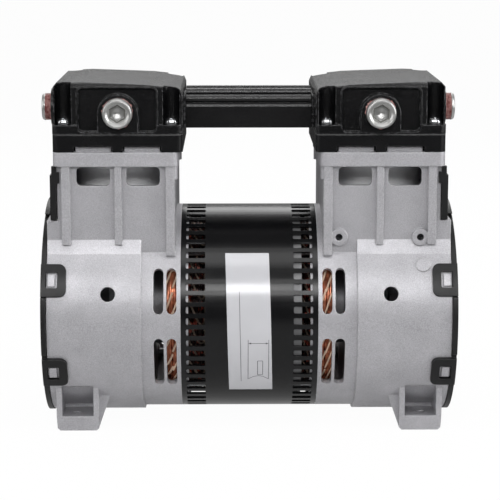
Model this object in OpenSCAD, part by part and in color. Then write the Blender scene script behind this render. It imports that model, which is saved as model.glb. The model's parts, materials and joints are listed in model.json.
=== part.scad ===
// Twin-cylinder rocking piston air compressor, millimetres.
// The origin is the centre of the four foot holes on the mounting plane, +X along the motor shaft
// and +Z up. Each half is drawn about the shaft axis with its outboard end at +X. The left half is
// the same drawing turned half a turn about Z.

/* [Stance] */
// Height of the shaft axis above the mounting plane
shaft_h = 69.5; // [69.3:0.1:84]
// Distance between the foot holes along the shaft
foot_span_x = 215; // [213:0.5:218]
// Distance between the foot holes across the shaft
foot_span_y = 82; // [76:0.5:88]
// Diameter of each foot hole
foot_hole_d = 5.6; // [4.5:0.1:8]
// Thickness of each foot plate
foot_t = 9; // [6:0.1:12]

/* [Motor] */
// Outer radius of the motor shell
shell_r = 64.5; // [63.6:0.1:65.5]
// Half of the visible length of the motor shell
shell_half = 42; // [40:0.5:44]
// Wall of the motor shell
shell_wall = 1.6; // [1:0.1:2]
// Number of vent slots round each end of the shell
shell_vents = 58; // [40:2:64]
// Width of one shell vent slot
shell_vent_w = 4.2; // [2.5:0.1:4.6]
// Length of one shell vent slot
shell_vent_l = 11.8; // [8:0.1:12]
// Length of the laminated stator core
core_len = 59; // [50:0.5:62]
// How far the stator core sits to the right of the middle
core_shift = 2.5; // [0:0.1:4]
// Radius of the rotor
rotor_r = 33; // [28:0.1:34]
// Gap between the rotor and the stator
air_gap = 0.5; // [0.3:0.05:0.8]

/* [Crankcase] */
// Length of the vented bell next to the motor shell
bell_len = 24; // [22:0.5:26]
// Outer radius of the crank drum
drum_r = 66.5; // [66:0.1:68]
// Length of the crank drum
drum_len = 57.5; // [55:0.1:59]
// Wall of the drum, the bell and the tower
case_wall = 3.4; // [2.6:0.1:4]
// Distance of each cylinder axis from the middle of the machine
cyl_x = 79.8; // [79:0.1:81]
// Width of the cylinder tower along the shaft
tower_w = 71.8; // [70:0.1:73]
// Depth of the cylinder tower across the shaft
tower_d = 97; // [94:0.5:100]
// Height of the tower deck above the shaft axis
deck_h = 104.7; // [102:0.1:110]
// Thickness of the tower flange
flange_t = 8.5; // [7:0.1:11]
// Width of the tower flange along the shaft
flange_w = 76.1; // [75:0.1:78]
// Depth of the tower flange across the shaft
flange_d = 106; // [103:0.5:108]

/* [Crank and pistons] */
// Offset of each crank pin from the shaft axis, half of the stroke
crank_throw = 4.5; // [3:0.1:5]
// Bore of each cylinder sleeve
cyl_bore = 54; // [50:0.5:56]
// Wall of each cylinder sleeve
sleeve_wall = 3; // [2:0.1:4]
// Shaft diameter in the main bearings
shaft_d = 17; // [15:0.1:17.6]
// Shaft diameter under the eccentrics and fans
crank_shaft_d = 14; // [12:0.1:14.2]
// Width of the connecting rod and its bearing
rod_w = 15; // [13:0.1:15.4]

/* [Heads] */
// Thickness of each valve plate
plate_t = 10.5; // [9:0.1:13]
// Height of each cylinder head
head_h = 31.3; // [30:0.1:34]
// Outer diameter of the pipe plugs and of the ports they close
port_d = 17.1; // [15:0.1:18]
// Width of each head along the shaft
head_w = 79.1; // [78:0.1:80]
// Half of the depth of the manifold bar
bar_half = 18; // [15:0.5:20]

/* [Fan and guard] */
// How far the fan guard stands out past the drum
guard_over = 0.5; // [0.3:0.1:1]
// Thickness of the fan guard
guard_t = 3; // [2:0.1:3.5]
// Gap between the tips of each fan and the drum
fan_tip_gap = 5.1; // [3:0.1:12]
// Number of blades on each fan
fan_blades = 9; // [6:1:11]

/* [Hidden] */
$fn = 96;
small_fn = 32;
corner_steps = 5;
vent_steps = 2;

// Shared clearances and the overrun of every cut
cut = 1;
fit_gap = 0.1;
turn_gap = 0.05;
seat_gap = 0.3;

// Stations along the shaft, measured outboard from the middle
drum_x0 = shell_half + bell_len;
drum_x1 = drum_x0 + drum_len;
core_x0 = -core_len / 2 + core_shift;
core_x1 = core_len / 2 + core_shift;
shell_in = shell_r - shell_wall;
bell_in = shell_r - case_wall;
drum_in = drum_r - case_wall;
function core_end(side) = side > 0 ? core_x1 : -core_x0;

// Crankcase casting
web_t = 6;
hub_r = 25;
hub_reach = 13;
hub_seat_in = 1.4;
hub_x0 = drum_x0 - hub_reach;
hub_lip = 2.6;
hub_lip_r = 15;
spigot_len = 4.6;
spigot_t = 1.8;
bell_vent_w = 6.1;
bell_vent_edge = 2.5;
bell_vent_pitch = 7.9;
bell_vent_relief = 0.3;
shell_vent_edge = 0.7;
shell_vent_corner = 0.8;
shell_vent_turn = 0.75;
bell_vent_angles = [[6.1, 31.7], [-38.8, -7.3]];
web_window_gap = 3;
web_window_rim = 7;
web_window_angle = 56;
access_hole_d = 9;
access_angle = 17;
pad_d = 8.9;
pad_t = 0.7;
pad_angle = 32.6;
pad_inset = 17.5;

// Tower of the casting
case_shift = 1.3;
tower_x0 = cyl_x + case_shift - tower_w / 2;
tower_x1 = cyl_x + case_shift + tower_w / 2;
flange_x0 = cyl_x + case_shift - flange_w / 2;
flange_x1 = cyl_x + case_shift + flange_w / 2;
flange_z = deck_h - flange_t;
flange_corner = 4.5;
tower_z0 = sqrt(pow(bell_in, 2) - pow(tower_d / 2, 2)) + seat_gap;
plinth_out = 3.4;
plinth_z = sqrt(pow(drum_r - seat_gap, 2) - pow(tower_d / 2 + plinth_out, 2));
plinth_slope = 9.4;
wing_drop = 4.1;
rib_out = 3.6;
mid_rib_w = 4.2;
side_rib_w = 5.2;
inner_rib_inset = 0.3;
outer_rib_inset = 2.8;
rib_z = 47.9;
inner_rib_z = 41.2;
lug_r = 3.6;
lug_h = 8.5;
window_w = 20.4;
window_h = 11.5;
window_drop = 0.9;
window_edge = 5;
window_r = 2.8;
boss_d = 10.4;
boss_hole_d = 4.3;
boss_out = 3;
boss_dx = 24.9;
boss_z = 52.3;
seat_block_wall = 4;
seat_z = 66;
seat_block_h = 6;
air_slot_w = 7;
air_slot_half = 20;
inlet_half = 30;
inlet_z0 = 70;
inlet_h = 16;
post_r = 5.5;
post_h = 16;
head_screw_d = 5;
screw_hole_depth = 14;
screw_edge_x = 6.8;
screw_edge_y = 7;
head_screw_dx = head_w / 2 - screw_edge_x;
head_screw_dy = flange_d / 2 - screw_edge_y;

// Feet of the casting
foot_inner = 14.2;
foot_outer = 11.6;
foot_front = 10.3;
foot_depth = 23;
foot_lean = 12;
foot_lean_back = 6;
foot_corner = 1.6;
foot_rib_t = 3.4;
foot_top_flare = 0.5;
foot_rise = 36;
foot_pocket_step = 2;

// Clips that hold the guard on the drum
clip_out = 2.1;
clip_reach = 15.3;
clip_arm = 5.2;
clip_corner = 4.2;
clip_window_r = 1;
clip_half_w = 10.2;
clip_angles = [24.2, -26.4];
clip_clear = 0.3;
catch_w = 7.6;
catch_l = 4.6;
catch_gap = 0.8;
catch_out = 1.5;

// Through bolts
bolt_ring_r = 58.6;
bolt_d = 4.5;
bolt_hole_d = 5;
bolt_head_d = 8;
bolt_head_h = 4;
bolt_socket_r = 1.3;
bolt_boss_r = 5;
bolt_boss_out = 1;
bolt_angle = 45;
bolt_count = 4;

// Main bearings and rod bearings
brg_od = 40;
brg_w = 12;
brg_ball_d = 6.74;
brg_balls = 8;
rod_brg_od = 52;
rod_brg_bore = 25;
rod_brg_ball_d = 7.9;
rod_brg_balls = 9;
shoulder_share = 0.16;
shield_t = 0.6;
shield_inset = 0.4;
groove_gap = 0.04;
cage_half = 1;
cage_t = 1.2;
wave_h = 1.4;
wave_t = 0.5;
wave_count = 3;
wave_rim = 3.4;
wave_riser = 2;
hub_seat_end = drum_x0 + hub_seat_in;
function brg_end(side) = side > 0 ? hub_seat_end - wave_h : hub_seat_end;

// Shaft, rotor and stator
rotor_shaft_d = 22;
shaft_chamfer = 1;
stator_slots = 24;
slot_w = 4.4;
slot_depth = 15;
tooth_tip = 2;
slot_mouth = 2.2;
rotor_bars = 28;
bar_d = 3.4;
bar_depth = 0.8;
cage_ring_t = 7;
cage_ring_in = 23;
peg_h = 5;
peg_w = 2;
peg_depth = 6;
pegs = 7;

// End windings
turn_x = 50;
turn_in = 39;
lace_d = 1.6;
lace_curls = 18;
lace_rings = 8;
lace_chamfer = 3;
lace_free_share = 0.94;
lace_start = 9;
wire_d = 2.2;
wire_gap = 0.45;
wire_step = 3.1;
wire_rings = 24;
wire_bend = 2.4;
tube_sides = 6;
bolt_clear = 0.3;

// Eccentric with its counterweight
pin_start = 0.7;
pin_shoulder_r = 15;
pin_shoulder = 0.5;
weight_t = 12;
weight_r = 42;
weight_hub_r = 16;
weight_half_angle = 62;
weight_apex = 8;
set_screw_d = 6;
set_screw_x = 15.4;
set_screw_flats = 3;
set_screw_socket = 4;

// Connecting rod with its piston
piston_top_gap = 0.8;
rod_eye_wall = 5;
rod_stem_w = 25;
rod_stem_top_w = 18;
rod_web_t = 5;
rod_rib_w = 4;
rod_shave = 1;
rod_collar_h = 10;
piston_gap = 0.5;
piston_t = 4.6;
cup_t = 1.4;
cup_lip_h = 3.6;
cup_gap = 0.15;
retainer_t = 3;
retainer_inset = 1;
cup_screw_d = 5;
cup_screw_head_d = 10;
cup_screw_head_h = 2.6;
cup_screw_len = 14;
screw_socket_d = 3.2;
screw_socket_h = 1.6;

// Cylinder seal and valves
oring_d = 1.8;
oring_groove_w = 2.2;
reed_t = 0.3;
reed_w = 12;
reed_l = 30;
reed_tip_d = 14;
reed_dx = 9;
reed_screw_d = 3;
reed_screw_head_d = 5.5;
reed_screw_head_h = 1.4;
reed_recess = 2.6;
valve_port_d = 8;
plate_inset = 0.1;
plate_notch_h = 3.6;
plate_notch_w = 23.4;
plate_notch_gap = 6.2;
plate_notch_depth = 7;
notch_pad_in = 3.4;
notch_pad_t = 3;
notch_pad_edge = 1;
gasket_t = 0.5;

// Cylinder head
head_z = deck_h + plate_t + gasket_t;
head_base_h = 5.6;
head_inset = 0.6;
head_body_inset = 1.6;
head_side_inset = 1;
head_bevel_y = 2.4;
head_bevel_z = 2.8;
head_end_drop = 1.6;
head_end_run = 17;
head_end_x = 21;
head_end_dip = 3.2;
head_end_dip_x = 7;
head_end_round = 4.6;
head_round_share = 0.3;
niche_r = 5;
panel_w = 47.6;
panel_h = 28;
panel_sill = 1.4;
panel_depth = 2.6;
port_x = -0.5;
port_boss_r = 12.2;
port_boss_out = 2;
port_z = 13.1;
port_boss_top = 24.4;
port_thread = 1.05;
front_plug_d = 18.2;
side_port_z = 11.6;
side_boss_r = 11.6;
side_boss_out = 4.4;
plug_out = 5.9;
plug_len = 18;
plug_socket_af = 8.2;
plug_socket_depth = 7;
plug_chamfer = 1.4;
plug_shell = 3.2;
chamber_wall = 8.6;
chamber_inset_x = 11;
chamber_inset_y = 15;
chamber_rib = 5;
chamber_corner = 5;
rib_jog_x = 12;
rib_jog_y = 25;
screw_head_d = 9.5;
screw_head_h = 3.4;
screw_cross_w = 1.1;
screw_cross_l = 5;
screw_cross_h = 1.8;
screw_dome = 1.6;
screw_len = 14;

// Manifold bar between the heads
bar_z0 = 0.1;
bar_side_h = 13;
bar_crown_h = 11.8;
bar_flutes = 7;
bar_flute_r = 2.4;
bar_end_gap = 0.3;
bar_pad_out = 1;
bar_bore_r = 5.5;
bar_bore_dy = 8.6;
bar_bore_z = 9;
bar_seal_d = 1.9;
bar_seal_r = 6.9;

// Fan, its clip and the guard
fan_hub_r = 13;
fan_gap = 1.4;
fan_hub_len = 16;
fan_blade_len = 13;
fan_blade_t = 1.6;
fan_blade_pitch = 38;
fan_blade_camber_r = 22;
clip_t = 1.2;
clip_r = 11;
clip_tongues = 3;
clip_slot = 2;
shaft_out = 3;
guard_gap = 0.3;
guard_rings = 5;
guard_spokes = 8;
guard_hub_r = 13;
guard_rim = 6.2;
guard_bar = 2.6;
guard_spoke_w = 3.2;
shroud_over = 1.9;
shroud_low = 3.5;
shroud_drop = 5.6;
shroud_half = tower_d / 2 + shroud_over;
shroud_z0 = drum_r - shroud_low;
shroud_z1 = flange_z - shroud_drop;
shroud_t = 3.9;
shroud_skin = 2;
shroud_band = 1.8;
hook_w = 1.8;
neck_t = 2.9;
hook_drop = 3.7;
hook_h = 6.9;
hook_neck = 3.6;
hook_z1 = flange_z - hook_drop;
hook_z0 = hook_z1 - hook_h;

// Lead grommet in the back of the shell
grommet_r = 7;
grommet_flange_r = 9;
grommet_flange_t = 1.6;
grommet_hole_r = 4;
grommet_angle = 20;

// Places and basic shapes

module on_shaft(side) {
    translate([0, 0, shaft_h]) rotate([0, 0, side > 0 ? 0 : 180]) children();
}

// The right crank pin lies below the shaft when the left one lies above it
module on_crank(side) {
    on_shaft(side) rotate([side > 0 ? 180 : 0, 0, 0]) children();
}

// The rods stay upright on their crank pins
module on_pin(side) {
    on_shaft(side) translate([cyl_x, 0, side > 0 ? -crank_throw : crank_throw]) children();
}

module along_x(x0, x1) {
    translate([x0, 0, 0]) rotate([90, 0, 90]) linear_extrude(x1 - x0) children();
}

module along_y(y0, y1) {
    translate([0, y1, 0]) rotate([90, 0, 0]) linear_extrude(y1 - y0) children();
}

module along_z(z0, z1) {
    translate([0, 0, z0]) linear_extrude(z1 - z0) children();
}

module rod_x(r, x0, x1) {
    translate([x0, 0, 0]) rotate([0, 90, 0]) cylinder(r = r, h = x1 - x0);
}

module tube_x(r_out, r_in, x0, x1) {
    difference() {
        rod_x(r_out, x0, x1);
        rod_x(r_in, x0 - cut, x1 + cut);
    }
}

module block(x0, x1, y0, y1, z0, z1) {
    translate([x0, y0, z0]) cube([x1 - x0, y1 - y0, z1 - z0]);
}

// A ring sector about the shaft, from angle a0 to a1 above the front
module sector_x(r0, r1, x0, x1, a0, a1) {
    rotate([0, 90, 0]) rotate([0, 0, -90 - a1]) rotate_extrude(angle = a1 - a0)
        translate([r0, x0]) square([r1 - r0, x1 - x0]);
}

// Children drawn along Z are turned to point outwards at an angle above the front
module radial(angle) {
    rotate([90 - angle, 0, 0]) children();
}

module front_and_back() {
    children();
    mirror([0, 1, 0]) children();
}

module four_corners(dx, dy) {
    for (sx = [-1, 1], sy = [-1, 1]) translate([sx * dx, sy * dy, 0]) children();
}

function arc(cx, cy, r, a0, steps) =
    [for (i = [0:steps]) let (a = a0 + 90 * i / steps) [cx + r * cos(a), cy + r * sin(a)]];
function round_rect(x0, x1, y0, y1, r, steps = corner_steps) = concat(
    arc(x1 - r, y1 - r, r, 0, steps), arc(x0 + r, y1 - r, r, 90, steps),
    arc(x0 + r, y0 + r, r, 180, steps), arc(x1 - r, y0 + r, r, 270, steps));

// Crankcase casting

module bell_vents() {
    for (column = [0, 1], span = bell_vent_angles) {
        x = shell_half + bell_vent_edge + bell_vent_w / 2 + column * bell_vent_pitch;
        half = asin(bell_vent_w / 2 / shell_r);
        sector_x(hub_r + cut, drum_r, x - bell_vent_w / 2, x + bell_vent_w / 2,
            span[0] + half, span[1] - half);
        for (a = [span[0] + half, span[1] - half])
            translate([x, 0, 0]) radial(a) translate([0, 0, bell_in - cut])
                cylinder(d = bell_vent_w - bell_vent_relief, h = case_wall + 2 * cut, $fn = small_fn);
    }
}

module web_windows() {
    for (a = [0, 90, 180, 270])
        sector_x(hub_r + web_window_gap, bell_in - web_window_rim, drum_x0 - web_t - cut, drum_x0 + cut,
            a - web_window_angle / 2, a + web_window_angle / 2);
}

module bolt_places() {
    for (i = [0:bolt_count - 1])
        rotate([bolt_angle + i * 360 / bolt_count, 0, 0]) translate([0, 0, bolt_ring_r]) children();
}

foot_x0 = foot_span_x / 2 - foot_inner;
foot_x1 = foot_span_x / 2 + foot_outer;
foot_y0 = foot_span_y / 2 + foot_front - foot_depth;
foot_y1 = foot_span_y / 2 + foot_front;

module foot_outline(lean) {
    c = foot_corner;
    polygon([
        [foot_x0 + c, -shaft_h], [foot_x1 - c, -shaft_h], [foot_x1, -shaft_h + c],
        [foot_x1 + foot_top_flare, -shaft_h + foot_t], [foot_x1 + foot_top_flare, -shaft_h + foot_rise],
        [foot_x0 - lean, -shaft_h + foot_rise], [foot_x0, -shaft_h + c]]);
}

// Behind its front, the foot's inner side leans towards the middle
module foot_body() {
    along_y(-foot_y1, -foot_y0) foot_outline(0);
    along_y(-foot_y1 + foot_lean_back, -foot_y0) foot_outline(foot_lean);
}

// The open pocket above each foot plate, which leaves two gussets
module foot_pocket() {
    difference() {
        block(foot_x0 + foot_rib_t, foot_x1 - foot_rib_t + foot_top_flare, -foot_y1 - cut, -foot_y0 + cut,
            -shaft_h + foot_t, -shaft_h + foot_rise);
        rod_x(drum_r - foot_pocket_step, foot_x0, foot_x1 + cut);
    }
}

// The tower widens in a slope where it meets the drum
module plinth_side() {
    half = tower_d / 2;
    polygon([[-half - plinth_out, plinth_z], [-half, plinth_z + plinth_slope],
        [half, plinth_z + plinth_slope], [half + plinth_out, plinth_z]]);
}

module tower_rib(x0, width, z0) {
    block(x0, x0 + width, -tower_d / 2 - rib_out, -tower_d / 2 + cut, z0, flange_z + cut);
}

module tower_ribs() {
    tower_rib(tower_x0 + inner_rib_inset, side_rib_w, inner_rib_z);
    tower_rib(cyl_x - mid_rib_w / 2, mid_rib_w, rib_z);
    tower_rib(tower_x1 - outer_rib_inset - side_rib_w, side_rib_w, rib_z);
}

// Lugs below the flange, round the inner head screws
module screw_lugs() {
    for (sy = [-1, 1]) translate([cyl_x - head_screw_dx, sy * head_screw_dy, flange_z - lug_h])
        cylinder(r = lug_r, h = lug_h + cut, $fn = small_fn);
}

function notch_x(sx) = cyl_x + sx * (plate_notch_gap + plate_notch_w) / 2;

// Pads on the deck, which show in the valve plate's notches
module deck_pads() {
    y = head_half - plate_inset;
    half = plate_notch_w / 2 - notch_pad_edge;
    for (sx = [-1, 1])
        block(notch_x(sx) - half, notch_x(sx) + half, -y + notch_pad_in, -y + plate_notch_depth - seat_gap,
            deck_h - cut, deck_h + notch_pad_t);
}

module tower_windows() {
    top = flange_z - window_drop;
    for (sx = [-1, 1]) {
        x = cyl_x + sx * (window_edge + window_w / 2);
        along_y(-flange_d, flange_d)
            polygon(round_rect(x - window_w / 2, x + window_w / 2, top - window_h, top, window_r));
    }
}

module flange_outline() {
    polygon(round_rect(flange_x0, flange_x1, -flange_d / 2, flange_d / 2, flange_corner));
}

sleeve_r = cyl_bore / 2 + sleeve_wall;

module tower_cavity() {
    difference() {
        block(tower_x0 + case_wall, tower_x1 - case_wall, -tower_d / 2 + case_wall,
            tower_d / 2 - case_wall, plinth_z, flange_z);
        rod_x(drum_r, tower_x0, tower_x1);
        translate([cyl_x, 0, plinth_z])
            cylinder(r = sleeve_r + seat_block_wall, h = seat_z + seat_block_h - plinth_z);
        translate([cyl_x, 0, flange_z - post_h])
            four_corners(head_screw_dx, head_screw_dy)
                cylinder(r = post_r, h = post_h + cut, $fn = small_fn);
    }
}

module rod_passage() {
    intersection() {
        translate([cyl_x, 0, 0]) cylinder(r = cyl_bore / 2, h = seat_z + cut);
        block(drum_x0, drum_x1, -drum_r, drum_r, 0, seat_z + cut);
    }
}

module crankcase_solid() {
    rod_x(shell_r, shell_half, drum_x0 + cut);
    rod_x(drum_r, drum_x0, drum_x1);
    rod_x(shell_in - fit_gap, shell_half - spigot_len, shell_half + cut);
    block(tower_x0, tower_x1, -tower_d / 2, tower_d / 2, tower_z0, flange_z + cut);
    block(tower_x1 - cut, drum_x1, -tower_d / 2, tower_d / 2, plinth_z, drum_r - wing_drop);
    along_x(drum_x0, drum_x1) plinth_side();
    front_and_back() {
        tower_ribs();
        deck_pads();
    }
    screw_lugs();
    along_z(flange_z, deck_h) flange_outline();
    front_and_back() foot_body();
    for (sx = [-1, 1])
        translate([cyl_x + sx * boss_dx, 0, boss_z]) rotate([90, 0, 0])
            cylinder(d = boss_d, h = tower_d / 2 + boss_out, $fn = small_fn);
    front_and_back() for (a = clip_angles) intersection() {
        rod_x(drum_r + catch_out, drum_x1 - catch_gap - catch_l, drum_x1 - catch_gap);
        translate([drum_x1 - catch_gap - catch_l, 0, 0]) radial(a)
            block(0, catch_l, -catch_w / 2, catch_w / 2, 0, drum_r + catch_out);
    }
    translate([drum_x1 - pad_inset, 0, 0]) radial(pad_angle)
        cylinder(d = pad_d, h = drum_r + pad_t, $fn = small_fn);
}

module crankcase_hub() {
    rod_x(hub_r, hub_x0, hub_seat_end + hub_lip);
    difference() {
        rod_x(bell_in + cut, drum_x0 - web_t, drum_x0);
        web_windows();
    }
    bolt_places()
        rod_x(bolt_boss_r, drum_x0 - web_t - bolt_boss_out, drum_x0 + bolt_boss_out);
}

module crankcase_bores() {
    rod_x(brg_od / 2 + fit_gap / 2, hub_x0 - cut, hub_seat_end);
    rod_x(hub_lip_r, hub_seat_end - cut, hub_seat_end + hub_lip + cut);
    bolt_places() rod_x(bolt_hole_d / 2, drum_x0 - bell_len, drum_x0 + 2 * bolt_boss_out + cut);
    translate([cyl_x, 0, seat_z]) cylinder(r = sleeve_r + fit_gap, h = deck_h - seat_z + cut);
    translate([cyl_x, 0, deck_h - oring_d]) cylinder(r = sleeve_r + oring_groove_w, h = oring_d + cut);
    translate([cyl_x, 0, deck_h - screw_hole_depth]) four_corners(head_screw_dx, head_screw_dy)
        cylinder(d = head_screw_d + fit_gap, h = screw_hole_depth + cut, $fn = small_fn);
    for (sx = [-1, 1])
        translate([cyl_x + sx * boss_dx, cut - tower_d / 2 + case_wall, boss_z]) rotate([90, 0, 0])
            cylinder(d = boss_hole_d, h = case_wall + boss_out + 2 * cut, $fn = small_fn);
    front_and_back() translate([foot_span_x / 2, -foot_span_y / 2, -shaft_h - cut])
        cylinder(d = foot_hole_d, h = foot_t + 2 * cut, $fn = small_fn);
    front_and_back() translate([pin_x1 + set_screw_x - pin_length, 0, 0]) radial(access_angle)
        translate([0, 0, drum_in - cut])
            cylinder(d = access_hole_d, h = case_wall + 2 * cut, $fn = small_fn);
}

module crankcase() {
    color("silver") difference() {
        union() {
            difference() {
                crankcase_solid();
                rod_x(bell_in, shell_half - spigot_len + spigot_t, drum_x0 - web_t);
                rod_x(shell_in - spigot_t, shell_half - spigot_len - cut, drum_x0 - web_t);
                rod_x(drum_in, drum_x0 - cut, drum_x1 + cut);
                tower_cavity();
                rod_passage();
            }
            crankcase_hub();
        }
        front_and_back() bell_vents();
        tower_windows();
        front_and_back() foot_pocket();
        block(tower_x1 - case_wall - air_slot_w, tower_x1 - case_wall, -air_slot_half, air_slot_half, 0,
            drum_r + cut);
        block(tower_x1 - case_wall - cut, tower_x1 + cut, -inlet_half, inlet_half, inlet_z0,
            inlet_z0 + inlet_h);
        crankcase_bores();
    }
}

module left_crankcase() { on_shaft(-1) crankcase(); }
module right_crankcase() { on_shaft(1) crankcase(); }

// Motor shell and core

module shell_vent() {
    edge = shell_half - bell_vent_edge - shell_vent_edge;
    translate([0, 0, shell_in - cut]) linear_extrude(shell_wall + 2 * cut)
        polygon(round_rect(edge - shell_vent_l, edge, -shell_vent_w / 2, shell_vent_w / 2,
            shell_vent_corner, vent_steps));
}

module motor_shell() {
    step = 360 / shell_vents;
    color("#1b1b1c") translate([0, 0, shaft_h]) difference() {
        tube_x(shell_r, shell_in, -shell_half, shell_half);
        for (i = [0:shell_vents - 1]) rotate([i * step + shell_vent_turn, 0, 0]) {
            shell_vent();
            mirror([1, 0, 0]) shell_vent();
        }
        radial(180 - grommet_angle) translate([0, 0, shell_in - cut])
            cylinder(r = grommet_r + fit_gap, h = shell_wall + 2 * cut);
    }
}

stator_r = shell_in - fit_gap;
stator_in = rotor_r + air_gap;

module stator_slot() {
    translate([-slot_mouth / 2, 0]) square([slot_mouth, stator_in + tooth_tip + cut]);
    translate([-slot_w / 2, stator_in + tooth_tip]) square([slot_w, slot_depth - slot_w / 2]);
    translate([0, stator_in + tooth_tip + slot_depth - slot_w / 2]) circle(d = slot_w, $fn = small_fn);
}

module stator_core() {
    color("#8d8f92") translate([0, 0, shaft_h]) difference() {
        along_x(core_x0, core_x1) difference() {
            circle(r = stator_r);
            circle(r = stator_in);
            for (i = [0:stator_slots - 1]) rotate(i * 360 / stator_slots) stator_slot();
        }
        bolt_places() rod_x(bolt_hole_d / 2, core_x0 - cut, core_x1 + cut);
    }
}

module through_bolt() {
    far = drum_x0 + bolt_boss_out;
    rod_x(bolt_d / 2, -far - bolt_head_h, far + bolt_head_h);
    difference() {
        rod_x(bolt_head_d / 2, far, far + bolt_head_h);
        rod_x(bolt_socket_r, far + bolt_head_h / 2, far + bolt_head_h + cut);
    }
    along_x(-far - bolt_head_h, -far) circle(d = bolt_head_d, $fn = 6);
}

module through_bolts() {
    color("#77797c") translate([0, 0, shaft_h]) bolt_places() through_bolt();
}

// End windings: a plain bundle, copper loops wound round it in two layers and a laced cord

lace_reach = lace_d / 2 + bolt_clear;
turn_out = bolt_ring_r - bolt_d / 2 - lace_d - 2 * bolt_clear;
wire_r2 = turn_out - wire_d / 2;
wire_r1 = wire_r2 - wire_d - wire_gap;
bundle_r = wire_r1 * cos(180 / wire_rings) - wire_d / 2 - fit_gap;
bundle_x1 = turn_x - lace_d - bolt_clear;
function bundle_x0(side) = core_end(side) + lace_d + 2 * bolt_clear;
function wire_x0(side) = core_end(side) + fit_gap + wire_d + wire_bend;
function wire_loops(side) = floor((bundle_x1 - wire_d / 2 - wire_x0(side)) / wire_step);

// A point on a cylinder about the shaft
function round_shaft(x, r, a) = [x, r * sin(a), r * cos(a)];

// One end of the wire: straight out of the core, then bent round to lie along the loop
function wire_lead(side, r, a, turn) = [
    for (d = [fit_gap, fit_gap + wire_d / 2]) round_shaft(core_end(side) + d, r, a),
    for (b = [0:30:60]) round_shaft(wire_x0(side) - wire_bend + wire_bend * sin(b), r,
        a + turn * (wire_bend * (1 - cos(b))) / r * 180 / PI)];

function reversed(list) = [for (i = [len(list) - 1:-1:0]) list[i]];

// Out in the lower layer, a climb in half a turn, and back in the upper layer
function wire_path(side) = let (
    n = wire_loops(side),
    lead = wire_bend / wire_r1 * 180 / PI,
    end_x = wire_x0(side) + n * wire_step,
    end_a = lead + 360 * (2 * n + 1 / 2)
) concat(
    wire_lead(side, wire_r1, 0, 1),
    [for (i = [0:n * wire_rings])
        round_shaft(wire_x0(side) + i * wire_step / wire_rings, wire_r1, lead + i * 360 / wire_rings)],
    [for (i = [1:wire_rings / 2]) let (s = (1 - cos(360 * i / wire_rings)) / 2)
        round_shaft(end_x, wire_r1 + s * (wire_r2 - wire_r1), lead + 360 * n + i * 360 / wire_rings)],
    [for (i = [1:n * wire_rings])
        round_shaft(end_x - i * wire_step / wire_rings, wire_r2,
            lead + 360 * (n + 1 / 2) + i * 360 / wire_rings)],
    reversed(wire_lead(side, wire_r2, end_a + wire_bend / wire_r2 * 180 / PI, -1)));

// The laced cord goes round the bundle in chamfered rectangles that advance round the shaft
function lace_section(side) = let (
    x0 = bundle_x0(side) - lace_reach, x1 = bundle_x1 + lace_reach,
    r0 = turn_in - lace_reach, r1 = turn_out + lace_reach, c = lace_chamfer
) [[x0 + c, r1], [x1 - c, r1], [x1, r1 - c], [x1, r0 + c], [x1 - c, r0], [x0 + c, r0], [x0, r0 + c],
    [x0, r1 - c]];

function lace_path(side) = let (s = lace_section(side), count = lace_curls * lace_rings) concat(
    [for (d = [fit_gap, lace_d]) round_shaft(core_end(side) + d, s[0][1], lace_turn(0))],
    [for (i = [0:count]) let (p = s[i % lace_rings]) round_shaft(p[0], p[1], lace_turn(i))],
    [for (d = [lace_d, fit_gap]) round_shaft(core_end(side) + d, s[0][1], lace_turn(count))]);
function lace_turn(i) = lace_start + i * 360 * lace_free_share / (lace_curls * lace_rings);

function unit(v) = v / norm(v);
function tangent(p, i) = unit(p[min(i + 1, len(p) - 1)] - p[max(i - 1, 0)]);
function square_to(v, t) = unit(v - (v * t) * t);

// A tube along points. Each ring is turned to the shaft's radius, or across it for the lacing.
module swept_tube(path, d, across) {
    n = len(path);
    rings = [for (i = [0:n - 1]) let (
        t = tangent(path, i),
        out = [0, path[i][1], path[i][2]],
        u = square_to(across ? cross([1, 0, 0], out) : out, t),
        v = cross(t, u)
    ) for (k = [0:tube_sides - 1]) let (a = 360 * k / tube_sides)
        path[i] + d / 2 * (cos(a) * u + sin(a) * v)];
    sides = [for (i = [0:n - 2], k = [0:tube_sides - 1]) let (
        a = i * tube_sides + k, b = i * tube_sides + (k + 1) % tube_sides
    ) each [[a, a + tube_sides, b], [b, a + tube_sides, b + tube_sides]]];
    last = (n - 1) * tube_sides;
    caps = [for (k = [1:tube_sides - 2]) each [[0, k, k + 1], [last, last + k + 1, last + k]]];
    polyhedron(rings, concat(sides, caps), convexity = 10);
}

// The least distance between points of a path that lie more than a few rings apart, less the tube
function least_gap(path, d, skip) = min([for (i = [0:len(path) - 1])
    for (j = [i + skip:len(path) - 1]) norm(path[i] - path[j])]) - d;

module end_winding(side) {
    path = wire_path(side);
    echo("least gap between the wire's loops", least_gap(path, wire_d, wire_rings / 2));
    c = lace_chamfer;
    x0 = bundle_x0(side);
    color("#b8643a") {
        rotate([0, 90, 0]) rotate_extrude() polygon([
            [turn_in + c, x0], [bundle_r - c, x0], [bundle_r, x0 + c], [bundle_r, bundle_x1 - c],
            [bundle_r - c, bundle_x1], [turn_in + c, bundle_x1], [turn_in, bundle_x1 - c],
            [turn_in, x0 + c]]);
        swept_tube(path, wire_d, false);
    }
}

module winding_lacing(side) {
    path = lace_path(side);
    echo("least gap between the lacing's curls", least_gap(path, lace_d, lace_rings / 2));
    color("#d9cdb4") swept_tube(path, lace_d, true);
}

module left_end_winding() { on_shaft(-1) end_winding(-1); }
module right_end_winding() { on_shaft(1) end_winding(1); }
module left_winding_lacing() { on_shaft(-1) winding_lacing(-1); }
module right_winding_lacing() { on_shaft(1) winding_lacing(1); }

// Ball bearings: the rings take their grooves from the balls

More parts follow.
